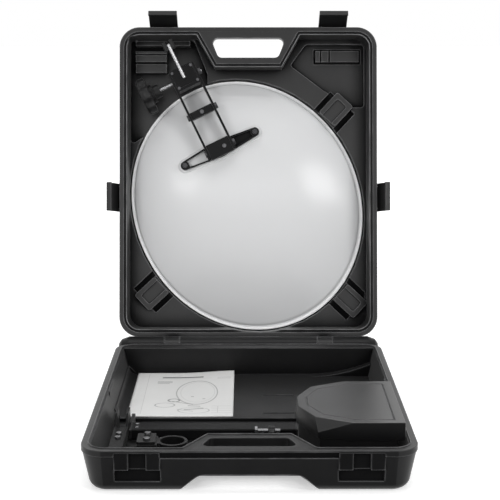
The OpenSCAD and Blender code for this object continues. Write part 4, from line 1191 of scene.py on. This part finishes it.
class Finishes:
    """Materials of the part, by slot and by node."""

    def __init__(self) -> None:
        """Makes every material."""
        self.case = Moulding("case_black").material()
        self.grip = Moulding("grip_black", rough=(0.36, 0.48), grain=1100.0).material()
        self.zinc = Metal("zinc_plate", (0.40, 0.40, 0.41), (0.54, 0.54, 0.55)).material()
        self.coat = RimmedCoat("dish_coat").material()
        self.pages = Pages("pages").material()
        self.cover = CoverPrint("cover_print").material()
        self.by_slot = self.slots()
        self.by_node = self.mouldings() | self.fasteners()

    def slots(self) -> dict[str, bpy.types.Material]:
        """Material of each slot."""
        paint = Moulding(
            "black_paint", rough=(0.30, 0.42), grain=900.0, relief=0.00003, shine=0.07, haze=0.05
        )
        horn = Metal("horn_casting", (0.5, 0.5, 0.51), (0.62, 0.62, 0.63), (0.4, 0.55))
        return {
            Slot.CASE.value: self.case,
            Slot.DISH.value: self.coat,
            Slot.STEEL.value: paint.material(),
            Slot.ZINC.value: self.zinc,
            Slot.GRIP.value: self.grip,
            Slot.HEAD.value: PowderCoat("head_shell", rough=(0.4, 0.5)).material(),
            Slot.HORN.value: horn.material(),
            Slot.PAPER.value: self.pages,
        }

    @staticmethod
    def mouldings() -> dict[str, bpy.types.Material]:
        """Plastics of the large case parts and the side latches."""
        latch = Moulding("latch_plastic", rough=(0.30, 0.38), shine=0.40).material()
        # The lid's pale edges are a stronger painted highlight.
        lid = Moulding("case_lid_plastic", edge=0.0019, shine=0.27, edge_highlight=(0.20, 0.20, 0.204))
        cover = TopLitMoulding("box_cover_plastic", rough=(0.30, 0.36), shine=0.55, haze=0.03)
        return {
            "case_base": ShadedFrontMoulding("case_base_plastic", edge=0.0019).material(),
            "case_lid": lid.material(),
            "box_cover": cover.material(),
            "latch_side_left": latch,
            "latch_side_right": latch,
        }

    @staticmethod
    def fasteners() -> dict[str, bpy.types.Material]:
        """Metals of the fasteners that aren't bright."""
        dark = Metal("black_zinc", (0.040, 0.040, 0.042), (0.075, 0.075, 0.078), (0.30, 0.42))
        dull = Metal("dull_zinc", (0.026, 0.026, 0.028), (0.045, 0.045, 0.047), (0.34, 0.46))
        plain = Metal("plain_steel", (0.14, 0.14, 0.145), (0.22, 0.22, 0.225), (0.34, 0.46))
        groups = {
            plain: ("rail_screws", "wing_bolt", "feed_clamp_bolts"),
            dark: ("arm_bolt", "spacer_bolt", "axle_nut", "cover_screws", "block_screws"),
            dull: ("foot_bolts", "foot_nuts"),
        }
        found = {}
        for metal, nodes in groups.items():
            found |= dict.fromkeys(nodes, metal.material())
        return found

    def of(self, node: str) -> bpy.types.Material:
        """Material of a node: its own, or else its slot's."""
        return self.by_node.get(node, self.by_slot[SLOTS[node]])


def main() -> None:
    """Builds the stage and every piece, in order."""
    logging.basicConfig(level=logging.INFO, format="%(name)s %(message)s")
    Studio().build()
    finishes = Finishes()
    rounding = Rounding()
    for edge, nodes in EDGE_GROUPS.items():
        for node in nodes:
            dressed(rounding.piece(node, edge), finishes.of(node))
    Reflector().build(finishes.coat)
    rod_start, axle_start = (-0.0015, 0.223911, 0.049327), (-0.06525, 0.225911, 0.034077)
    Thread("clamp_rod", rod_start, along=1, length=0.060, radius=0.00325).build(finishes.zinc)
    Thread("tilt_axle", axle_start, along=0, length=0.094).build(finishes.zinc)
    HandWheel().build(finishes.grip)
    Booklet().build(finishes.pages, finishes.cover)


if __name__ == "__main__":
    main()
